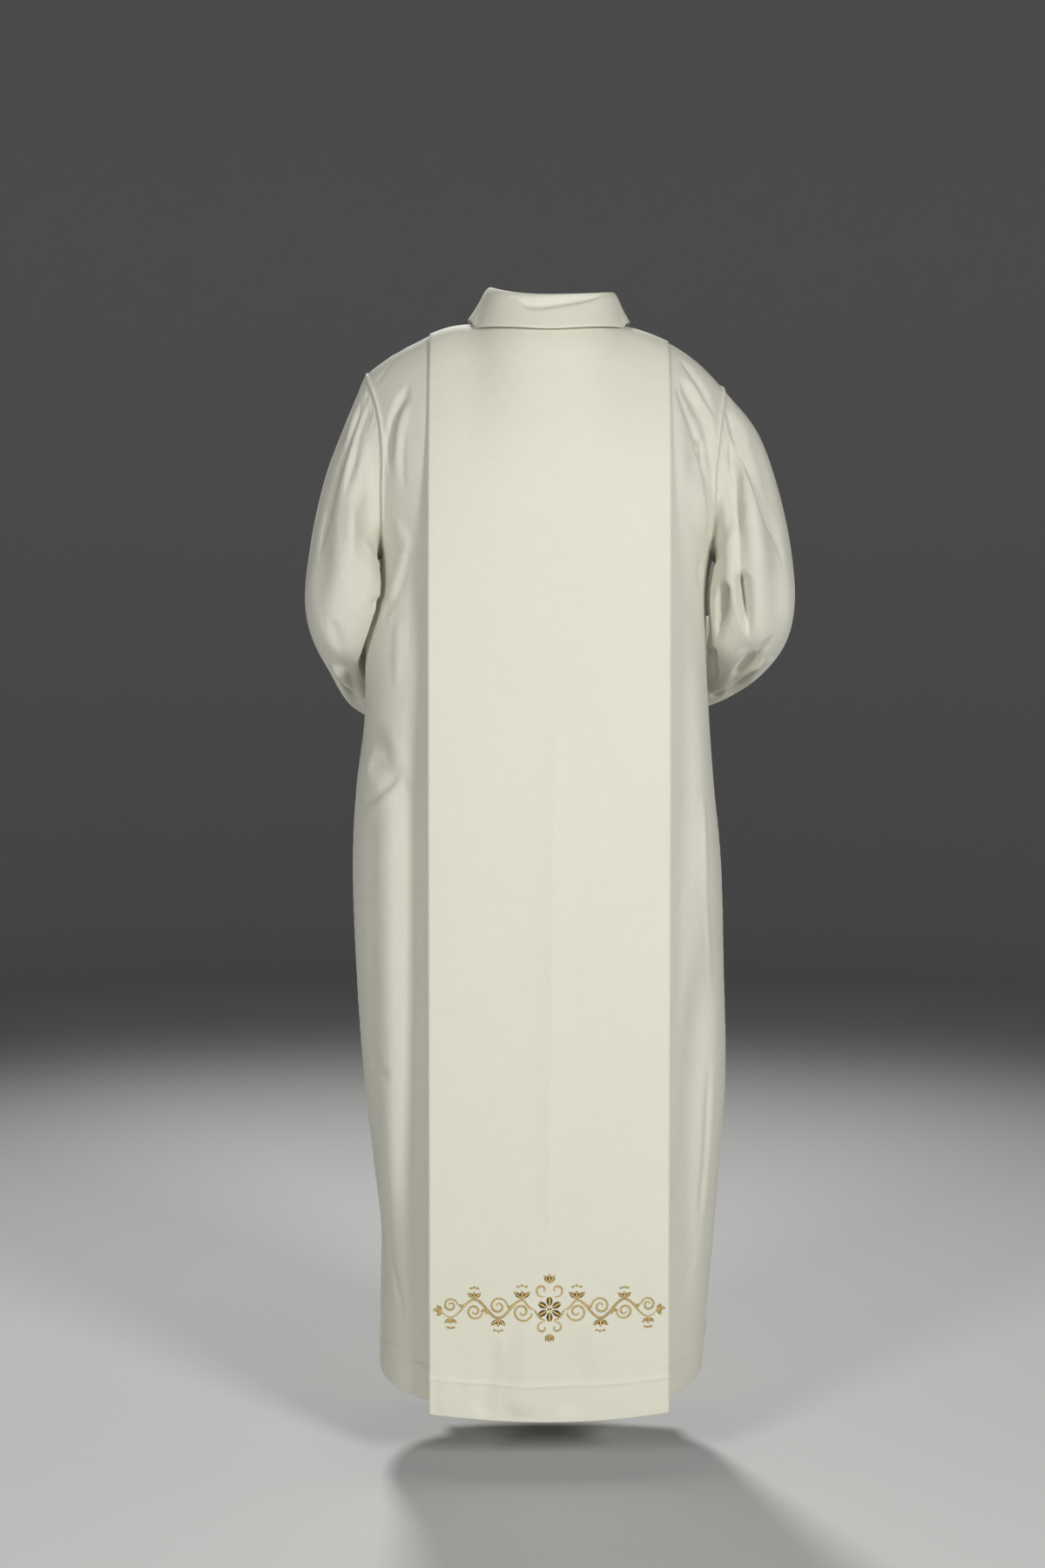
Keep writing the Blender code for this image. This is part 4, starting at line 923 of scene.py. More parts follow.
def collar_turns():
    """Turns round the collar, whose two ends stop just short of the middle front."""
    turns = np.linspace(0, 360, COLLAR_COLUMNS + 1)
    turns[0] += COLLAR_END
    turns[-1] -= COLLAR_END
    return turns


def stand_surface():
    """The band from the neck seam up to the collar's fold."""
    turns = collar_turns()
    base = neck_line(turns, inset=STAND_INSET)
    base[:, 2] -= CLOTH
    top = collar_fold(turns)
    top[:, 2] -= CLOTH + FOLD_GAP
    return np.array([base + (top - base) * share for share in np.linspace(0, 1, STAND_LINES + 1)])


def cloth_height(x, y):
    """The height of the cloth on the shoulders at one place."""
    surface = scapular_surface("back" if y > 0 else "front")
    heights, depths = [], []
    for row in surface[-YOKE_ROWS::REST_STEP]:
        depths.append(np.interp(x, row[:, 0], np.abs(row[:, 1])))
        heights.append(np.interp(x, row[:, 0], row[:, 2]))
    return float(np.interp(abs(y), depths[::-1], heights[::-1]))


def leaf_edge(turns):
    """The leaf's lower edge, which rests on the cloth below it and ends in two points in front."""
    spread = turns + LEAF_SPREAD * (1 - turns / 180)
    x, y, to_back, _ = round_neck(spread, LEAF_SIDE_REACH, LEAF_BACK_REACH, LEAF_FRONT_REACH)
    height = np.array([cloth_height(*place) for place in zip(x, y)])
    return np.stack([x, y, height + CLOTH + LEAF_LIFT + LEAF_BACK_LIFT * to_back], axis=-1)


def leaf_surface():
    """The part of the collar that turns down from the fold, clear of the cloth on the shoulders."""
    turns = collar_turns()
    fold = collar_fold(turns)
    edge = leaf_edge(turns)
    outs = through(range(len(LEAF_ROWS)), LEAF_ROWS, np.linspace(0, len(LEAF_ROWS) - 1, LEAF_LINES + 1))
    rows = []
    for out, down in outs:
        line = fold + (edge - fold) * (out, out, down)
        resting = np.array([cloth_height(x, y) for x, y in line[:, :2]]) + CLOTH + LEAF_LIFT
        line[:, 2] = np.maximum(line[:, 2], resting)
        rows.append(line)
    return np.array(rows)


def lengths_along(points, axis):
    """Distance travelled along one direction of a grid of points, from its first row or column."""
    steps = np.linalg.norm(np.diff(points, axis=axis), axis=-1)
    start = np.zeros_like(np.take(steps, [0], axis=axis))
    return np.cumsum(np.concatenate([start, steps], axis=axis), axis=axis)


def flat_chart(points):
    """Where each point lies on the flat cloth: across from the middle column, and up from the lowest row."""
    across = lengths_along(points, 1)
    across -= across[:, points.shape[1] // 2][:, None]
    return np.stack([across, lengths_along(points, 0)], axis=-1)


def outward_of(points, sign):
    """Unit directions square to a grid of points, on its outer side."""
    return normals_of(points) * sign


def in_metres(crease):
    """The same crease with its half widths, depth and places in metres."""
    right, left, depth = (size / MM_PER_METRE for size in (crease.right, crease.left, crease.depth))
    return crease._replace(right=right, left=left, depth=depth, path=np.array(crease.path) / MM_PER_METRE)


def crease_line(points, facing, crease, side):
    """A crease's middle line on the piece, followed on the side where its places are seen."""
    knots = range(len(crease.path))
    places = through(knots, crease.path, np.linspace(0, knots[-1], CREASE_STEPS + 1))
    flat = points.reshape(-1, 3)
    turned_away = facing.reshape(-1, 3)[:, 1] * side < 0
    depths = []
    for x, height in places:
        beside = np.hypot(flat[:, 0] - x, flat[:, 2] - height) + turned_away
        near = flat[beside < beside.min() + CREASE_FEEL, 1]
        depths.append(max(near * side) * side)
    depths = np.concatenate([depths[:1], depths, depths[-1:]])
    depths = (depths[:-2] + 2 * depths[1:-1] + depths[2:]) / 4
    return np.stack([places[:, 0], depths, places[:, 1]], axis=-1)


def near_line(points, facing, line):
    """Share of the way along a line, and signed distance from it, of each point of a piece."""
    nearest = np.full(len(points), np.inf)
    along = np.zeros(len(points))
    off = np.zeros(len(points))
    for step, (start, end) in enumerate(zip(line[:-1], line[1:])):
        way = end - start
        length = max(np.linalg.norm(way), ROUNDING)
        way = way / length
        reach = np.clip((points - start) @ way, 0, length)
        apart = points - start - reach[:, None] * way
        distance = np.linalg.norm(apart, axis=-1)
        side = np.einsum("ij,ij->i", np.cross(way, facing), apart)
        closer = distance < nearest
        nearest = np.where(closer, distance, nearest)
        along = np.where(closer, (step + reach / length) / CREASE_STEPS, along)
        off = np.where(closer, np.copysign(distance, side), off)
    return along, off


def from_seams(kind, chart):
    """Distance of each place on the flat cloth from the piece's sewn edges."""
    across, up = chart[..., 0], chart[..., 1]
    below_top = up[-1] - up
    if kind == "alb":
        return np.minimum(np.minimum(across - across[:, :1], across[:, -1:] - across), below_top)
    if kind == "sleeve":
        return up
    return below_top if kind == "scapular" else np.minimum(up, below_top)


def puckers(along):
    """Uneven small waves along a seam, from -1 to 1."""
    return sum(pucker.share * np.sin(along * pucker.turn + pucker.start) for pucker in PUCKERS)


def seam_relief(kind, points, chart, away):
    """How far the cloth stands out beside its seams: the ridge over the turned-in cloth, and its puckers."""
    seam = SEAMS[kind]
    relief = seam.rise * bump((away - seam.at) / seam.half)
    along = chart[..., 1]
    if kind == "sleeve":
        along = chart[:1, :, 0] - chart[:1, :1, 0]
    if kind == "alb":
        at_armhole = smooth_step((points[..., 2] - ARMPIT_HEIGHT) / ARMHOLE_FADE)
        sides = np.minimum(chart[..., 0] - chart[:, :1, 0], chart[:, -1:, 0] - chart[..., 0])
        raised = (ARMHOLE_RISE - seam.rise) * bump((sides - ARMHOLE_AT) / ARMHOLE_HALF)
        relief = relief + at_armhole * raised
    fade = smooth_step(away / seam.at) * smooth_step(1 - away / seam.reach)
    return relief + seam.pucker * puckers(along) * fade


def hem_relief(kind, chart):
    """How far the turned-up hem stands out from the single cloth beside it."""
    up = chart[..., 1]
    if kind == "sleeve":
        from_end, wide = up[-1] - up, CUFF_HEM
    else:
        from_end, wide = up - up[0], up[len(HEM_SHARES) - 1]
    rise = HEM_RISE * smooth_step((wide - from_end) / HEM_RIDGE_HALF + 1)
    return rise + HEM_RIDGE * bump((from_end - wide) / HEM_RIDGE_HALF)


def crease_relief(points, facing, crease, side):
    """How far one crease moves each of the piece's points."""
    line = crease_line(points, facing, crease, side)
    flat = points.reshape(-1, 3)
    reach = max(crease.right, crease.left)
    low, high = line.min(axis=0) - reach, line.max(axis=0) + reach
    near = np.flatnonzero(((flat > low) & (flat < high)).all(axis=1))
    along, off = near_line(flat[near], facing.reshape(-1, 3)[near], line)
    fade = smooth_step(along / crease.rise) * smooth_step((1 - along) / crease.fade)
    taper = CREASE_POINT + (1 - CREASE_POINT) * fade
    beside = np.abs(off) / (np.where(off > 0, crease.right, crease.left) * taper)
    relief = np.zeros(len(flat))
    relief[near] = crease.depth * bump(beside**crease.crisp) * fade
    return relief.reshape(points.shape[:2])


def eased(points):
    """The same points with bends across the cloth rounded, its edges kept."""
    for _ in range(EASE_ROUNDS):
        middle = (points[:, :-2] + 2 * points[:, 1:-1] + points[:, 2:]) / 4
        points = np.concatenate([points[:, :1], middle, points[:, -1:]], axis=1)
    return points


def creased(piece, points, sign):
    """The piece's points moved out for its ridges and in for its hollows."""
    kind = piece.split("_")[0]
    if kind == "scapular":
        points = eased(points)
    facing = outward_of(points, sign)
    chart = flat_chart(points)
    away = from_seams(kind, chart)
    moved = np.zeros(points.shape[:2])
    for seen, side in (("behind", 1), ("ahead", -1)):
        for crease in CREASES.get((piece, seen), ()):
            moved += crease_relief(points, facing, in_metres(crease), side)
    moved *= smooth_step(away / SEAM_CALM)
    if kind == "alb":
        under_scapular = np.abs(points[..., 0]) < SCAPULAR_CALM
        moved = np.where(under_scapular, np.minimum(moved, 0), moved)
    moved += seam_relief(kind, points, chart, away)
    if kind != "collar":
        moved += hem_relief(kind, chart)
    return points + facing * moved[..., None]


def placed(points):
    """The same points with their heights measured from the neck."""
    return points - (0, 0, NECK_HEIGHT)


def in_scene(name, data):
    """A new object in the scene, made of some data."""
    thing = bpy.data.objects.new(name, data)
    bpy.context.scene.collection.objects.link(thing)
    return thing


def shaded_object(name, shape, material):
    """A smooth object made from a bmesh, which is freed."""
    mesh = bpy.data.meshes.new(name)
    shape.to_mesh(mesh)
    shape.free()
    mesh.materials.append(material)
    mesh.shade_smooth()
    return in_scene(name, mesh)


def cloth_sheet(name, points, sign, material, closed=False, hem_rows=(), slit_row=None):
    """One cut piece of cloth: a fine sheet of faces through the points, thickened inwards."""
    if closed:
        points = np.concatenate([points, points[:, :1]], axis=1)
    rows, columns = points.shape[:2]
    sheet = bmesh.new()
    # The grid's own size doesn't matter, because each of its corners is moved to its place.
    bmesh.ops.create_grid(sheet, x_segments=columns - 1, y_segments=rows - 1, size=1)
    sheet.verts.ensure_lookup_table()
    sheet.verts.index_update()
    layers = sheet.verts.layers.deform.verify()
    cloth = sheet.loops.layers.uv.new("cloth")
    flat = flat_chart(points).reshape(-1, 2)
    place = placed(points).reshape(-1, 3)
    for vertex in sheet.verts:
        vertex.co = place[vertex.index]
        vertex[layers][0] = 1 if vertex.index // columns in hem_rows else 1 / HEM_LAYERS
    for face in sheet.faces:
        for loop in face.loops:
            loop[cloth].uv = flat[loop.vert.index]
    if slit_row is not None:
        open_slit(sheet, slit_row, columns)
    if closed:
        bmesh.ops.remove_doubles(sheet, verts=sheet.verts, dist=ROUNDING)
    sheet.normal_update()
    if sign > 0:
        bmesh.ops.reverse_faces(sheet, faces=sheet.faces)
    piece = shaded_object(name, sheet, material)
    piece.vertex_groups.new(name="layers")
    wall = piece.modifiers.new("wall", "SOLIDIFY")
    wall.thickness = CLOTH * HEM_LAYERS
    wall.vertex_group = "layers"
    wall.offset = -1
    wall.use_quality_normals = True
    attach(piece, BODY)
    return piece


def open_slit(sheet, slit_row, columns):
    """Parts the sheet along its middle column, from a row up to its upper edge."""
    middle = columns // 2
    line = [vertex for vertex in sheet.verts if vertex.index % columns == middle]
    line = [vertex for vertex in line if vertex.index // columns >= slit_row]
    inside = set(line)
    edges = [edge for edge in sheet.edges if edge.verts[0] in inside and edge.verts[1] in inside]
    end = min(line, key=lambda vertex: vertex.co.z)
    bmesh.ops.split_edges(sheet, edges=edges)
    for vertex in sheet.verts:
        if abs(vertex.co.x) > ROUNDING or vertex.co.z <= end.co.z + ROUNDING:
            continue
        side = sum(face.calc_center_median().x for face in vertex.link_faces)
        vertex.co.x = math.copysign(SLIT_GAP / 2, side)


def arithmetic(tree, operation, *values):
    """A Math node on sockets or plain numbers. Gives its output socket."""
    node = tree.nodes.new("ShaderNodeMath")
    node.operation = operation
    for socket, value in zip(node.inputs, values):
        if isinstance(value, bpy.types.NodeSocket):
            tree.links.new(value, socket)
        else:
            socket.default_value = value
    return node.outputs["Value"]


def clamped(tree, value):
    """The value kept between 0 and 1."""
    return arithmetic(tree, "MINIMUM", arithmetic(tree, "MAXIMUM", value, 0.0), 1.0)


def wave(tree, place, per_unit):
    """A sine from 0 to 1 that repeats per_unit times in each unit of place."""
    turn = arithmetic(tree, "MULTIPLY", place, 2 * math.pi * per_unit)
    return arithmetic(tree, "MULTIPLY_ADD", arithmetic(tree, "SINE", turn), 0.5, 0.5)


def noise(tree, place, scale, detail=2.0, roughness=0.5):
    """Soft noise from 0 to 1 over a vector socket."""
    node = tree.nodes.new("ShaderNodeTexNoise")
    node.inputs["Scale"].default_value = scale
    node.inputs["Detail"].default_value = detail
    node.inputs["Roughness"].default_value = roughness
    tree.links.new(place, node.inputs["Vector"])
    return node.outputs["Fac"]


def thread_group(name):
    """An empty node group for a place on the flat cloth. Gives it, the place, and the place across and up."""
    group = bpy.data.node_groups.new(name, "ShaderNodeTree")
    group.interface.new_socket("Place", in_out="INPUT", socket_type="NodeSocketVector")
    for made in ("Height", "Tone"):
        group.interface.new_socket(made, in_out="OUTPUT", socket_type="NodeSocketFloat")
    place = group.nodes.new("NodeGroupInput").outputs["Place"]
    apart = group.nodes.new("ShaderNodeSeparateXYZ")
    group.links.new(place, apart.inputs["Vector"])
    return group, place, apart.outputs["X"], apart.outputs["Y"]


def give(group, height, tone):
    """Ends a node group with the height and the tone that it makes."""
    made = group.nodes.new("NodeGroupOutput")
    group.links.new(height, made.inputs["Height"])
    group.links.new(tone, made.inputs["Tone"])
    return group


def twill_group():
    """Fine twill: diagonal ridges crossed by threads, with small uneven spots and streaks in the yarn."""
    group, place, across, up = thread_group("twill weave")
    ridge = wave(group, arithmetic(group, "MULTIPLY_ADD", up, TWILL_SLOPE, across), 1 / TWILL_PITCH)
    thread = wave(group, across, 2 / TWILL_PITCH)
    yarn = noise(group, place, YARN_SPOTS)
    warp = slubs(group, across, arithmetic(group, "MULTIPLY", up, SLUB_STRETCH))
    weft = slubs(group, arithmetic(group, "MULTIPLY", across, SLUB_STRETCH), up)
    woven = arithmetic(group, "MULTIPLY_ADD", thread, CROSS_THREAD_SHARE, ridge)
    height = arithmetic(group, "MULTIPLY_ADD", yarn, SPOT_RISE, woven)
    tone = arithmetic(group, "MULTIPLY_ADD", yarn, SPOT_TONE, arithmetic(group, "ADD", warp, weft))
    centred = 0.5 - TONE_MIDDLE * SLUB_CONTRAST
    return give(group, height, arithmetic(group, "MULTIPLY_ADD", tone, SLUB_CONTRAST, centred))


def slubs(tree, across, up):
    """Soft noise in thin streaks, as thicker stretches of yarn make."""
    joined = tree.nodes.new("ShaderNodeCombineXYZ")
    tree.links.new(across, joined.inputs["X"])
    tree.links.new(up, joined.inputs["Y"])
    return noise(tree, joined.outputs["Vector"], SLUB_SCALE, 1.0)


def bump_node(tree, height, distance, strength, normal=None):
    """A Bump node on a height socket, over an earlier normal if one is given."""
    node = tree.nodes.new("ShaderNodeBump")
    node.inputs["Distance"].default_value = distance
    node.inputs["Strength"].default_value = strength
    tree.links.new(height, node.inputs["Height"])
    if normal is not None:
        tree.links.new(normal, node.inputs["Normal"])
    return node.outputs["Normal"]


def tone_mix(tree, tone, dark, light):
    """A colour between two, chosen by a value socket."""
    node = tree.nodes.new("ShaderNodeMix")
    node.data_type = "RGBA"
    # A Mix node's colour sockets share their names with others, so they are taken by number.
    tree.links.new(tone, node.inputs[0])
    node.inputs[6].default_value = dark
    node.inputs[7].default_value = light
    return node.outputs[2]


def new_material(name, roughness, metallic=0.0):
    """A material with a Principled shader. Gives it, its tree and its shader."""
    material = bpy.data.materials.new(name)
    material.use_nodes = True
    tree = material.node_tree
    shader = tree.nodes["Principled BSDF"]
    shader.inputs["Roughness"].default_value = roughness
    shader.inputs["Metallic"].default_value = metallic
    return material, tree, shader


def threads_on(tree, group, uv_map):
    """A use of a thread group on the piece's own flat places, in metres. Gives its outputs and the place."""
    node = tree.nodes.new("ShaderNodeGroup")
    node.node_tree = group
    place = tree.nodes.new("ShaderNodeUVMap")
    place.uv_map = uv_map
    tree.links.new(place.outputs["UV"], node.inputs["Place"])
    return node.outputs, place.outputs["UV"]


def ivory_cloth(name, tone, twill):
    """Smooth ivory twill with a soft sheen, faintly uneven in tone and not quite flat."""
    material, tree, shader = new_material(name, CLOTH_ROUGHNESS)
    shader.inputs["Sheen Weight"].default_value = CLOTH_SHEEN
    shader.inputs["Sheen Roughness"].default_value = SHEEN_ROUGHNESS
    weave, place = threads_on(tree, twill, "cloth")
    drape = noise(tree, place, RIPPLE_SCALE, RIPPLE_DETAIL, RIPPLE_ROUGHNESS)
    normal = bump_node(tree, drape, RIPPLE_DEPTH, 1.0)
    normal = bump_node(tree, weave["Height"], WEAVE_DEPTH, WEAVE_STRENGTH, normal)
    tree.links.new(normal, shader.inputs["Normal"])
    patches = arithmetic(tree, "MULTIPLY", noise(tree, place, PATCH_SCALE), PATCH_SHARE)
    share = arithmetic(tree, "MULTIPLY_ADD", weave["Tone"], 1 - PATCH_SHARE, patches)
    tree.links.new(tone_mix(tree, share, tone.shade, tone.light), shader.inputs["Base Color"])
    return material


def satin_group():
    """Threads that cross a band at a slant, with painted shade at its edges and between them, painted
    highlight on their tops, and uneven tone.
    """
    group, place, across, up = thread_group("satin stitch")
    # Painted shade between the threads and towards the band's edges, painted highlight on the threads' tops
    # and the band's middle.
    lines = wave(group, arithmetic(group, "MULTIPLY_ADD", up, THREAD_SLANT, across), 1 / THREAD_PITCH)
    uneven = noise(group, place, THREAD_SPOTS)
    shaded = arithmetic(group, "MULTIPLY_ADD", arithmetic(group, "ABSOLUTE", up), -EDGE_SHADE, uneven)
    tone = arithmetic(group, "MULTIPLY_ADD", lines, THREAD_LINE_SHADE, shaded)
    return give(group, lines, clamped(group, arithmetic(group, "ADD", tone, TONE_LIFT)))


def gold_thread(satin):
    """Gold satin stitch: fine slanting threads, with painted shade between them and painted highlight on top.
    """
    material, tree, shader = new_material("gold thread", GOLD_ROUGHNESS, GOLD_METALLIC)
    lines, _ = threads_on(tree, satin, "thread")
    normal = bump_node(tree, lines["Height"], THREAD_DEPTH, THREAD_STRENGTH)
    tree.links.new(normal, shader.inputs["Normal"])
    tree.links.new(tone_mix(tree, lines["Tone"], GOLD_SHADE, GOLD_LIGHT), shader.inputs["Base Color"])
    return material


def sewing_thread():
    """Matt ivory sewing thread, a little lighter than the cloth."""
    material, tree, shader = new_material("sewing thread", THREAD_ROUGHNESS)
    place = tree.nodes.new("ShaderNodeTexCoord").outputs["Object"]
    twist = noise(tree, place, THREAD_SPOTS, 1.0)
    tree.links.new(tone_mix(tree, twist, SCAPULAR.shade, THREAD_TONE), shader.inputs["Base Color"])
    tree.links.new(bump_node(tree, twist, THREAD_DEPTH, TWIST_STRENGTH), shader.inputs["Normal"])
    return material


def read_along(at, travelled, values):
    """Three-part values of a line, read at distances travelled along it."""
    return np.stack([np.interp(at, travelled, values[:, i]) for i in range(3)], axis=-1)


def hem_stitches(points, sign, distance, edge=0):
    """Places, ways along and ways out of the stitches at a distance from a piece's first or last row."""
    facing = outward_of(points, sign)
    if edge != 0:
        points, facing = points[::-1], facing[::-1]
    up = lengths_along(points, 0)[:, points.shape[1] // 2]
    row = int(np.argmin(np.abs(up - distance)))
    travelled = lengths_along(points[row][:, None], 0)[:, 0]
    at = np.arange(STITCH_PITCH / 2, travelled[-1] - STITCH_PITCH / 2, STITCH_PITCH)
    places = read_along(at, travelled, points[row])
    return list(zip(places, np.gradient(places, axis=0), read_along(at, travelled, facing[row])))


def stitching(name, stitches, material):
    """One piece that holds many short stitches, each a small rounded thread lying on the cloth."""
    thread = bmesh.new()
    bmesh.ops.create_uvsphere(thread, u_segments=STITCH_SIDES, v_segments=STITCH_RINGS, radius=1)
    pattern = bpy.data.meshes.new("stitch")
    thread.to_mesh(pattern)
    thread.free()
    size = Matrix.Diagonal((STITCH_LENGTH / 2, STITCH_RADIUS, STITCH_RADIUS, 1))
    threads = bmesh.new()
    for place, way, out in stitches:
        along = Vector(way).normalized()
        across = Vector(out).cross(along).normalized()
        turn = Matrix((along, across, along.cross(across))).transposed().to_4x4()
        middle = Vector(placed(place)) + Vector(out) * STITCH_LIFT
        stitch = pattern.copy()
        stitch.transform(Matrix.Translation(middle) @ turn @ size)
        threads.from_mesh(stitch)
        bpy.data.meshes.remove(stitch)
    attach(shaded_object(name, threads, material), BODY)


def curl(x, height, start, turns, outer, inner):
    """A tendril's path: from start degrees round a centre, drawing in from one radius to another."""
    turn = math.radians(start) + np.linspace(0, 2 * math.pi * turns, CURL_STEPS)
    radius = np.linspace(outer, inner, CURL_STEPS)
    return np.stack([x + radius * np.cos(turn), height + radius * np.sin(turn)], axis=-1)


def blade(x, height, angle, length, bend=0.0):
    """A leaf's or petal's path: from its foot out at an angle, bent a little to one side."""
    turn = math.radians(angle)
    way = np.array((math.cos(turn), math.sin(turn)))
    aside = np.array((-way[1], way[0]))
    share = np.linspace(0, 1, BLADE_STEPS)[:, None]
    return np.array((x, height)) + way * length * share + aside * bend * np.sin(share * math.pi / 2) ** 2


def fan_of(fan, x, height, way, scale=1.0):
    """The strokes of blades that fan out from one place, each leaning to its side of the way."""
    foot, middle, tip = fan.widths
    strokes = []
    for lean in fan.blades:
        bend = fan.bend * np.sign(lean.degrees)
        path = blade(x, height, way + lean.degrees, lean.length * scale, bend)
        strokes.append((path, (foot, middle * scale, tip)))
    return strokes


def vine_height(x):
    """Height of the border's winding stem at a distance from the middle."""
    calm = smooth_step((x - VINE_START) / (VINE_PERIOD / 4))
    return BORDER_HEIGHT + VINE_WAVE * calm * np.sin((x - VINE_START) * 2 * math.pi / VINE_PERIOD)


def vine_bend(step):
    """The strokes in one bend of the winding stem: a tendril inside it, leaves and berries outside."""
    x = VINE_START + VINE_PERIOD * (0.25 + 0.5 * step)
    side = 1 if step % 2 == 0 else -1
    height = float(vine_height(x))
    scale = 1 - BEND_SHRINK * step
    middle = BORDER_HEIGHT - side * CURL_DROP
    tendril = curl(x, middle, 180, side * CURL_TURNS, CURL_OUTER * scale, CURL_INNER)
    strokes = [(tendril, TENDRIL_WIDTHS)]
    strokes += fan_of(LEAVES, x, height + side * LEAF_FOOT, 90 * side, scale)
    for berry in BERRIES:
        foot = (x + berry.aside * scale, height + side * berry.up * scale)
        strokes.append((blade(*foot, 90 * side, BERRY_LENGTH), BERRY_WIDTHS))
    return strokes


def half_border():
    """The strokes of the border's left half: each a path and the widths along it."""
    across = np.linspace(VINE_START, VINE_END, VINE_STEPS)
    strokes = [(np.stack([across, vine_height(across)], axis=-1), STEM_WIDTHS)]
    for step in range(VINE_BENDS):
        strokes += vine_bend(step)
    for step in range(VINE_BENDS):
        x = VINE_START + VINE_PERIOD * 0.5 * (step + 1)
        strokes += fan_of(BUDS, x, float(vine_height(x)), BUD_WAYS[step % 2])
    strokes += fan_of(TIPS, VINE_END - TIP_INSET, float(vine_height(VINE_END)), 0)
    strokes += [flower_stroke(part) for part in HALF_FLOWER]
    knots = range(len(FLOWER_STEM))
    stem = through(knots, np.array(FLOWER_STEM) + (0, BORDER_HEIGHT), np.linspace(0, knots[-1], CURL_STEPS))
    return [*strokes, (stem, FLOWER_STEM_WIDTHS)]


def flower_stroke(part):
    """The path of a blade or curl of the flower, and the widths along it."""
    x, up, *shape, widths = part
    draw = curl if isinstance(part, Curl) else blade
    return draw(x, BORDER_HEIGHT + up, *shape), widths


def border_strokes():
    """Every stroke of the border: both halves, and those on the flower's middle line."""
    half = half_border()
    turned = [(path * (-1, 1), widths) for path, widths in half]
    return half + turned + [flower_stroke(part) for part in MIDDLE_FLOWER]


def cloth_at(points, facing, x, height):
    """The place and the way out on the scapular at x and a height, read from its grid of points."""
    # Its columns hang straight down, so any row clear of the neck says where they are.
    places = points[len(points) // 4, :, 0]
    column = int(np.clip(np.searchsorted(places, x) - 1, 0, len(places) - 2))
    share = (x - places[column]) / (places[column + 1] - places[column])
    place, out = (
        values[:, column] * (1 - share) + values[:, column + 1] * share for values in (points, facing)
    )
    return read_along(height, place[:, 2], place), read_along(height, place[:, 2], out)


def satin_band(border, thread, cloth, path, widths):
    """Adds one stroke: a rounded band along a path on the cloth, with its own flat places kept."""
    steps = max(int(np.linalg.norm(np.diff(path, axis=0), axis=1).sum() / BAND_STEP), BAND_LEAST_STEPS)
    share = np.linspace(0, 1, steps + 1)
    line = through(np.linspace(0, 1, len(path)), path, share)
    ends = np.sqrt(np.clip(share * (1 - share) * BAND_END_ROUNDING, 0, 1))
    width = through((0, 0.5, 1), widths, share) * BAND_STOUT * ends
    travelled = lengths_along(line[:, None], 0)[:, 0]
    ways = unit(np.gradient(line, axis=0))
    ring = np.linspace(0, 2 * math.pi, BAND_SIDES + 1)
    made = bmesh.ops.create_grid(border, x_segments=BAND_SIDES, y_segments=steps, size=1)["verts"]
    place_of = {}
    for index, vertex in enumerate(made):
        row, column = divmod(index, BAND_SIDES + 1)
        across = math.cos(ring[column]) * width[row] / 2
        flat = line[row] + np.array((-ways[row][1], ways[row][0])) * across
        place, out = cloth_at(*cloth, *flat)
        lift = BAND_SINK + BAND_HEIGHT * math.sin(ring[column]) * min(width[row] / BAND_FULL, 1)
        vertex.co = placed(place + out * lift)
        place_of[vertex] = (travelled[row], across)
    for face in {face for vertex in made for face in vertex.link_faces}:
        for loop in face.loops:
            loop[thread].uv = place_of[loop.vert]
    bmesh.ops.remove_doubles(border, verts=made, dist=ROUNDING)


def gold_border(points, sign, material):
    """The embroidered border: satin-stitched strokes lying on the scapular's back."""
    border = bmesh.new()
    thread = border.loops.layers.uv.new("thread")
    for path, widths in border_strokes():
        satin_band(border, thread, (points, outward_of(points, sign)), path, widths)
    bmesh.ops.recalc_face_normals(border, faces=border.faces)
    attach(shaded_object("gold_border", border, material), BODY)


def backdrop():
    """A pale round floor that curves up all round into the studio's wall."""
    sweep = bmesh.new()
    profile = [(0.0, 0.0), (FLOOR_RADIUS, 0.0)]
    for turn in np.linspace(0, math.pi / 2, COVE_STEPS + 1)[1:]:
        profile.append((FLOOR_RADIUS + COVE_RADIUS * math.sin(turn), COVE_RADIUS * (1 - math.cos(turn))))
    profile.append((FLOOR_RADIUS + COVE_RADIUS, WALL_HEIGHT))
    line = [sweep.verts.new((x, 0, height - NECK_HEIGHT)) for x, height in profile]
    edges = [sweep.edges.new(pair) for pair in zip(line[:-1], line[1:])]
    bmesh.ops.spin(
        sweep,
        geom=[*line, *edges],
        cent=(0, 0, 0),
        axis=(0, 0, 1),
        angle=2 * math.pi,
        steps=ROUND_STEPS,
        use_merge=True,
    )
    bmesh.ops.remove_doubles(sweep, verts=sweep.verts, dist=ROUNDING)
    bmesh.ops.recalc_face_normals(sweep, faces=sweep.faces)
    if sum(face.normal.z for face in sweep.faces) < 0:
        bmesh.ops.reverse_faces(sweep, faces=sweep.faces)
    material, tree, shader = new_material("studio floor", FLOOR_ROUGHNESS)
    reach = tree.nodes.new("ShaderNodeVectorMath")
    reach.operation = "LENGTH"
    tree.links.new(tree.nodes.new("ShaderNodeTexCoord").outputs["Object"], reach.inputs[0])
    span = DARK_REACH - PALE_REACH
    share = arithmetic(tree, "MULTIPLY_ADD", reach.outputs["Value"], 1 / span, -PALE_REACH / span)
    share = arithmetic(tree, "SMOOTH_MIN", arithmetic(tree, "MAXIMUM", share, 0.0), 1.0, SHADE_SOFTNESS)
    tree.links.new(tone_mix(tree, share, FLOOR_COLOUR, WALL_COLOUR), shader.inputs["Base Color"])
    shaded_object("studio_floor", sweep, material)


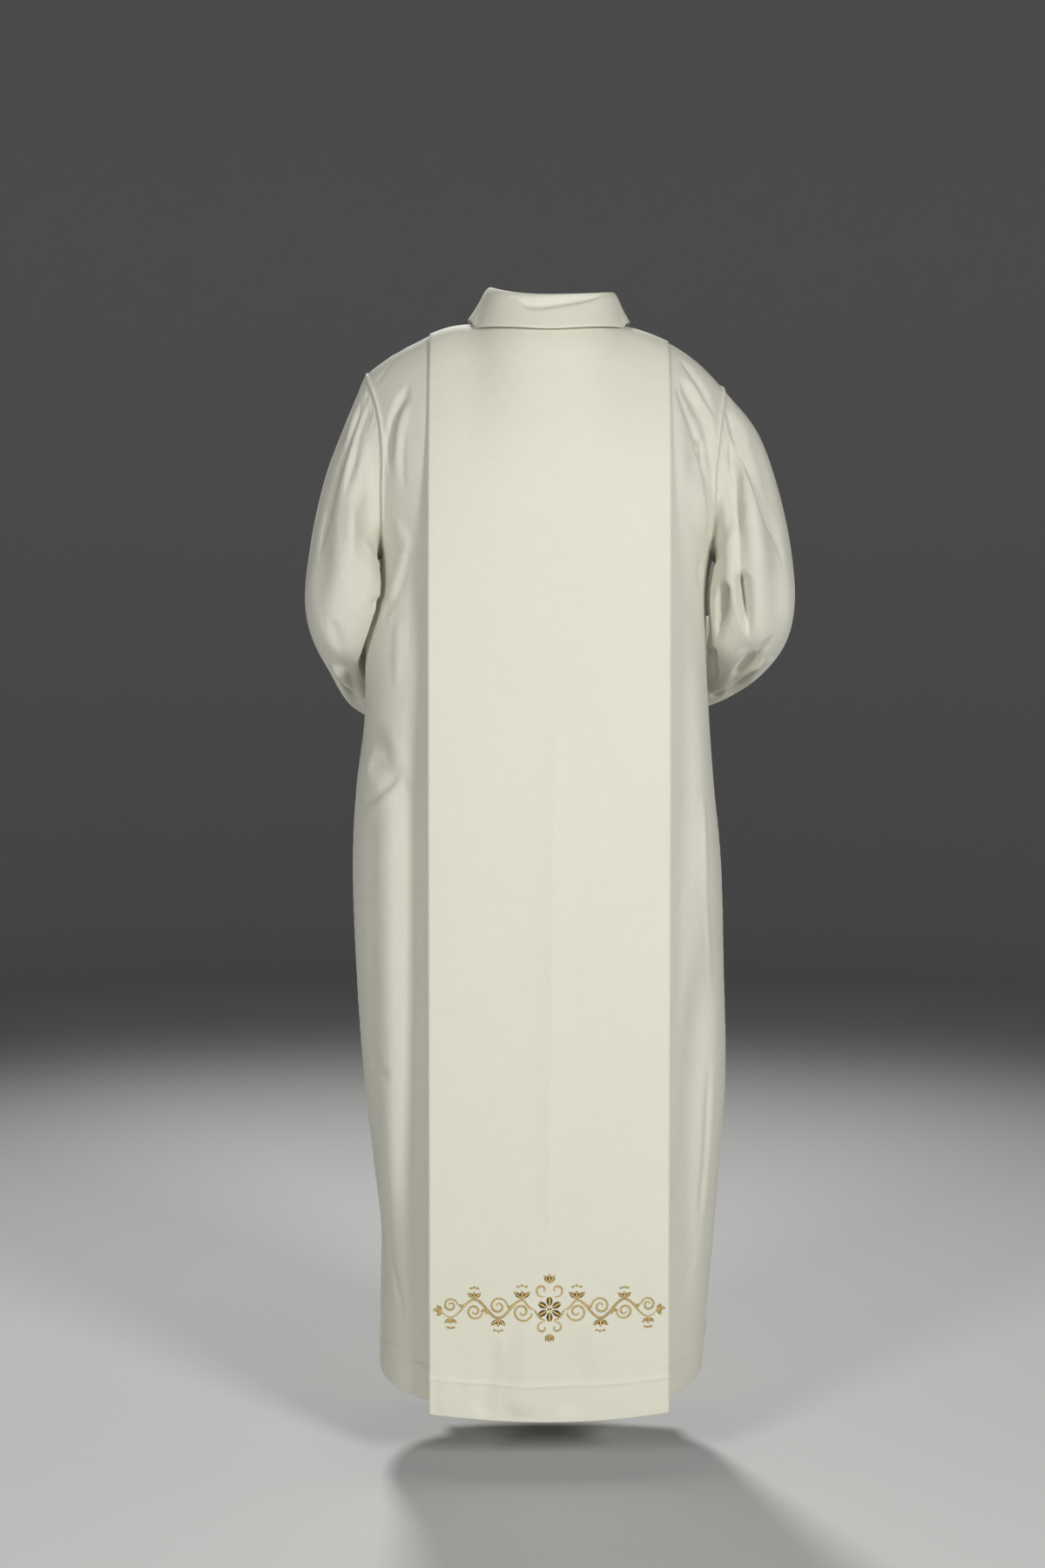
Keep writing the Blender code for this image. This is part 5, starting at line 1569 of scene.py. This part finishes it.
def hang_lamp(lamp, data):
    """Puts a lamp's light at its place, turned to what it lights."""
    data.energy = lamp.watts
    light = in_scene(lamp.name, data)
    light.location = lamp.place
    light.rotation_euler = (Vector(lamp.aim) - Vector(lamp.place)).to_track_quat("-Z", "Y").to_euler()
    light.visible_camera = False


def studio():
    """Pale floor and backdrop, soft lamps and the camera behind the wearer."""
    backdrop()
    world = bpy.data.worlds.new("studio")
    world.use_nodes = True
    world.node_tree.nodes["Background"].inputs["Color"].default_value = WORLD_COLOUR
    world.node_tree.nodes["Background"].inputs["Strength"].default_value = WORLD_STRENGTH
    bpy.context.scene.world = world
    bpy.context.scene.view_settings.view_transform = "Standard"

    for lamp in LAMPS:
        data = bpy.data.lights.new(lamp.name, "AREA")
        data.size = lamp.size
        hang_lamp(lamp, data)
    data = bpy.data.lights.new(FRONT_SPOT.name, "SPOT")
    data.shadow_soft_size = FRONT_SPOT.size
    data.spot_size = math.radians(SPOT_CONE)
    data.spot_blend = 1.0
    hang_lamp(FRONT_SPOT, data)

    data = bpy.data.cameras.new("camera")
    data.lens = LENS_MM
    data.sensor_width = SENSOR_MM
    camera = in_scene("camera", data)
    camera.location = CAMERA_PLACE
    camera.rotation_euler = (math.radians(90 - CAMERA_TILT), 0, math.radians(180))
    bpy.context.scene.camera = camera


def dress(name, points, sign, cloth, **shape):
    """Shows a solid as a piece of cloth through the points."""
    piece = cloth_sheet(name + "_cloth", points, sign, cloth, **shape)
    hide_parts(name)


def slit_top_row(surface):
    """The row of a front's points at which the slit's lower end lies."""
    heights = surface[:, surface.shape[1] // 2, 2]
    return int(np.searchsorted(heights, NECK_FRONT_HEIGHT - SLIT_LENGTH))


def dress_panels(shaded_robe_cloth, scapular_cloth):
    """The robe's and the scapular's backs and fronts. Gives their stitches and the scapular's back."""
    stitches = []
    layers = (("alb", panel_surface, shaded_robe_cloth), ("scapular", scapular_surface, scapular_cloth))
    for panel, sign in (("back", 1), ("front", -1)):
        slit_row = slit_top_row(panel_surface(panel)) if panel == "front" else None
        for layer, shape, cloth in layers:
            name = f"{layer}_{panel}"
            points = creased(name, shape(panel), sign)
            dress(name, points, sign, cloth, hem_rows=range(len(HEM_SHARES)), slit_row=slit_row)
            hem_top = flat_chart(points)[len(HEM_SHARES) - 1, 0, 1]
            stitches += hem_stitches(points, sign, hem_top - STITCH_INSET)
            if name == "scapular_back":
                carries_border = points
    return stitches, carries_border


def dress_sleeves(cloth):
    """Both sleeves. Gives the stitches of their cuffs."""
    stitches = []
    for side, sign in (("left", 1), ("right", -1)):
        name = f"sleeve_{side}"
        points = creased(name, np.roll(sleeve_surface(side), -YOKE_ROWS, axis=1), sign)
        cuff_rows = range(len(points) - CUFF_ROWS, len(points))
        dress(name, points, sign, cloth, closed=True, hem_rows=cuff_rows)
        stitches += hem_stitches(points, sign, CUFF_HEM - STITCH_INSET, edge=1)
    return stitches


def dress_collar(cloth):
    """The collar's standing band and the leaf that turns down from it."""
    for name, surface, sign in (("collar_stand", stand_surface(), -1), ("collar_leaf", leaf_surface(), 1)):
        dress(name, creased(name, surface, sign), sign, cloth)


def main():
    """Dresses every solid of the alb, adds its stitching and border, and sets the studio."""
    twill = twill_group()
    # The robe's copy of the cloth is darker as painted shade; the scapular and the collar wear the lit copy.
    shaded_robe_cloth = ivory_cloth("shaded robe cloth", SHADED_ROBE, twill)
    scapular_cloth = ivory_cloth("scapular cloth", SCAPULAR, twill)
    stitches, carries_border = dress_panels(shaded_robe_cloth, scapular_cloth)
    stitches += dress_sleeves(shaded_robe_cloth)
    dress_collar(scapular_cloth)
    stitching("hem_stitches", stitches, sewing_thread())
    gold_border(carries_border, 1, gold_thread(satin_group()))
    studio()


main()
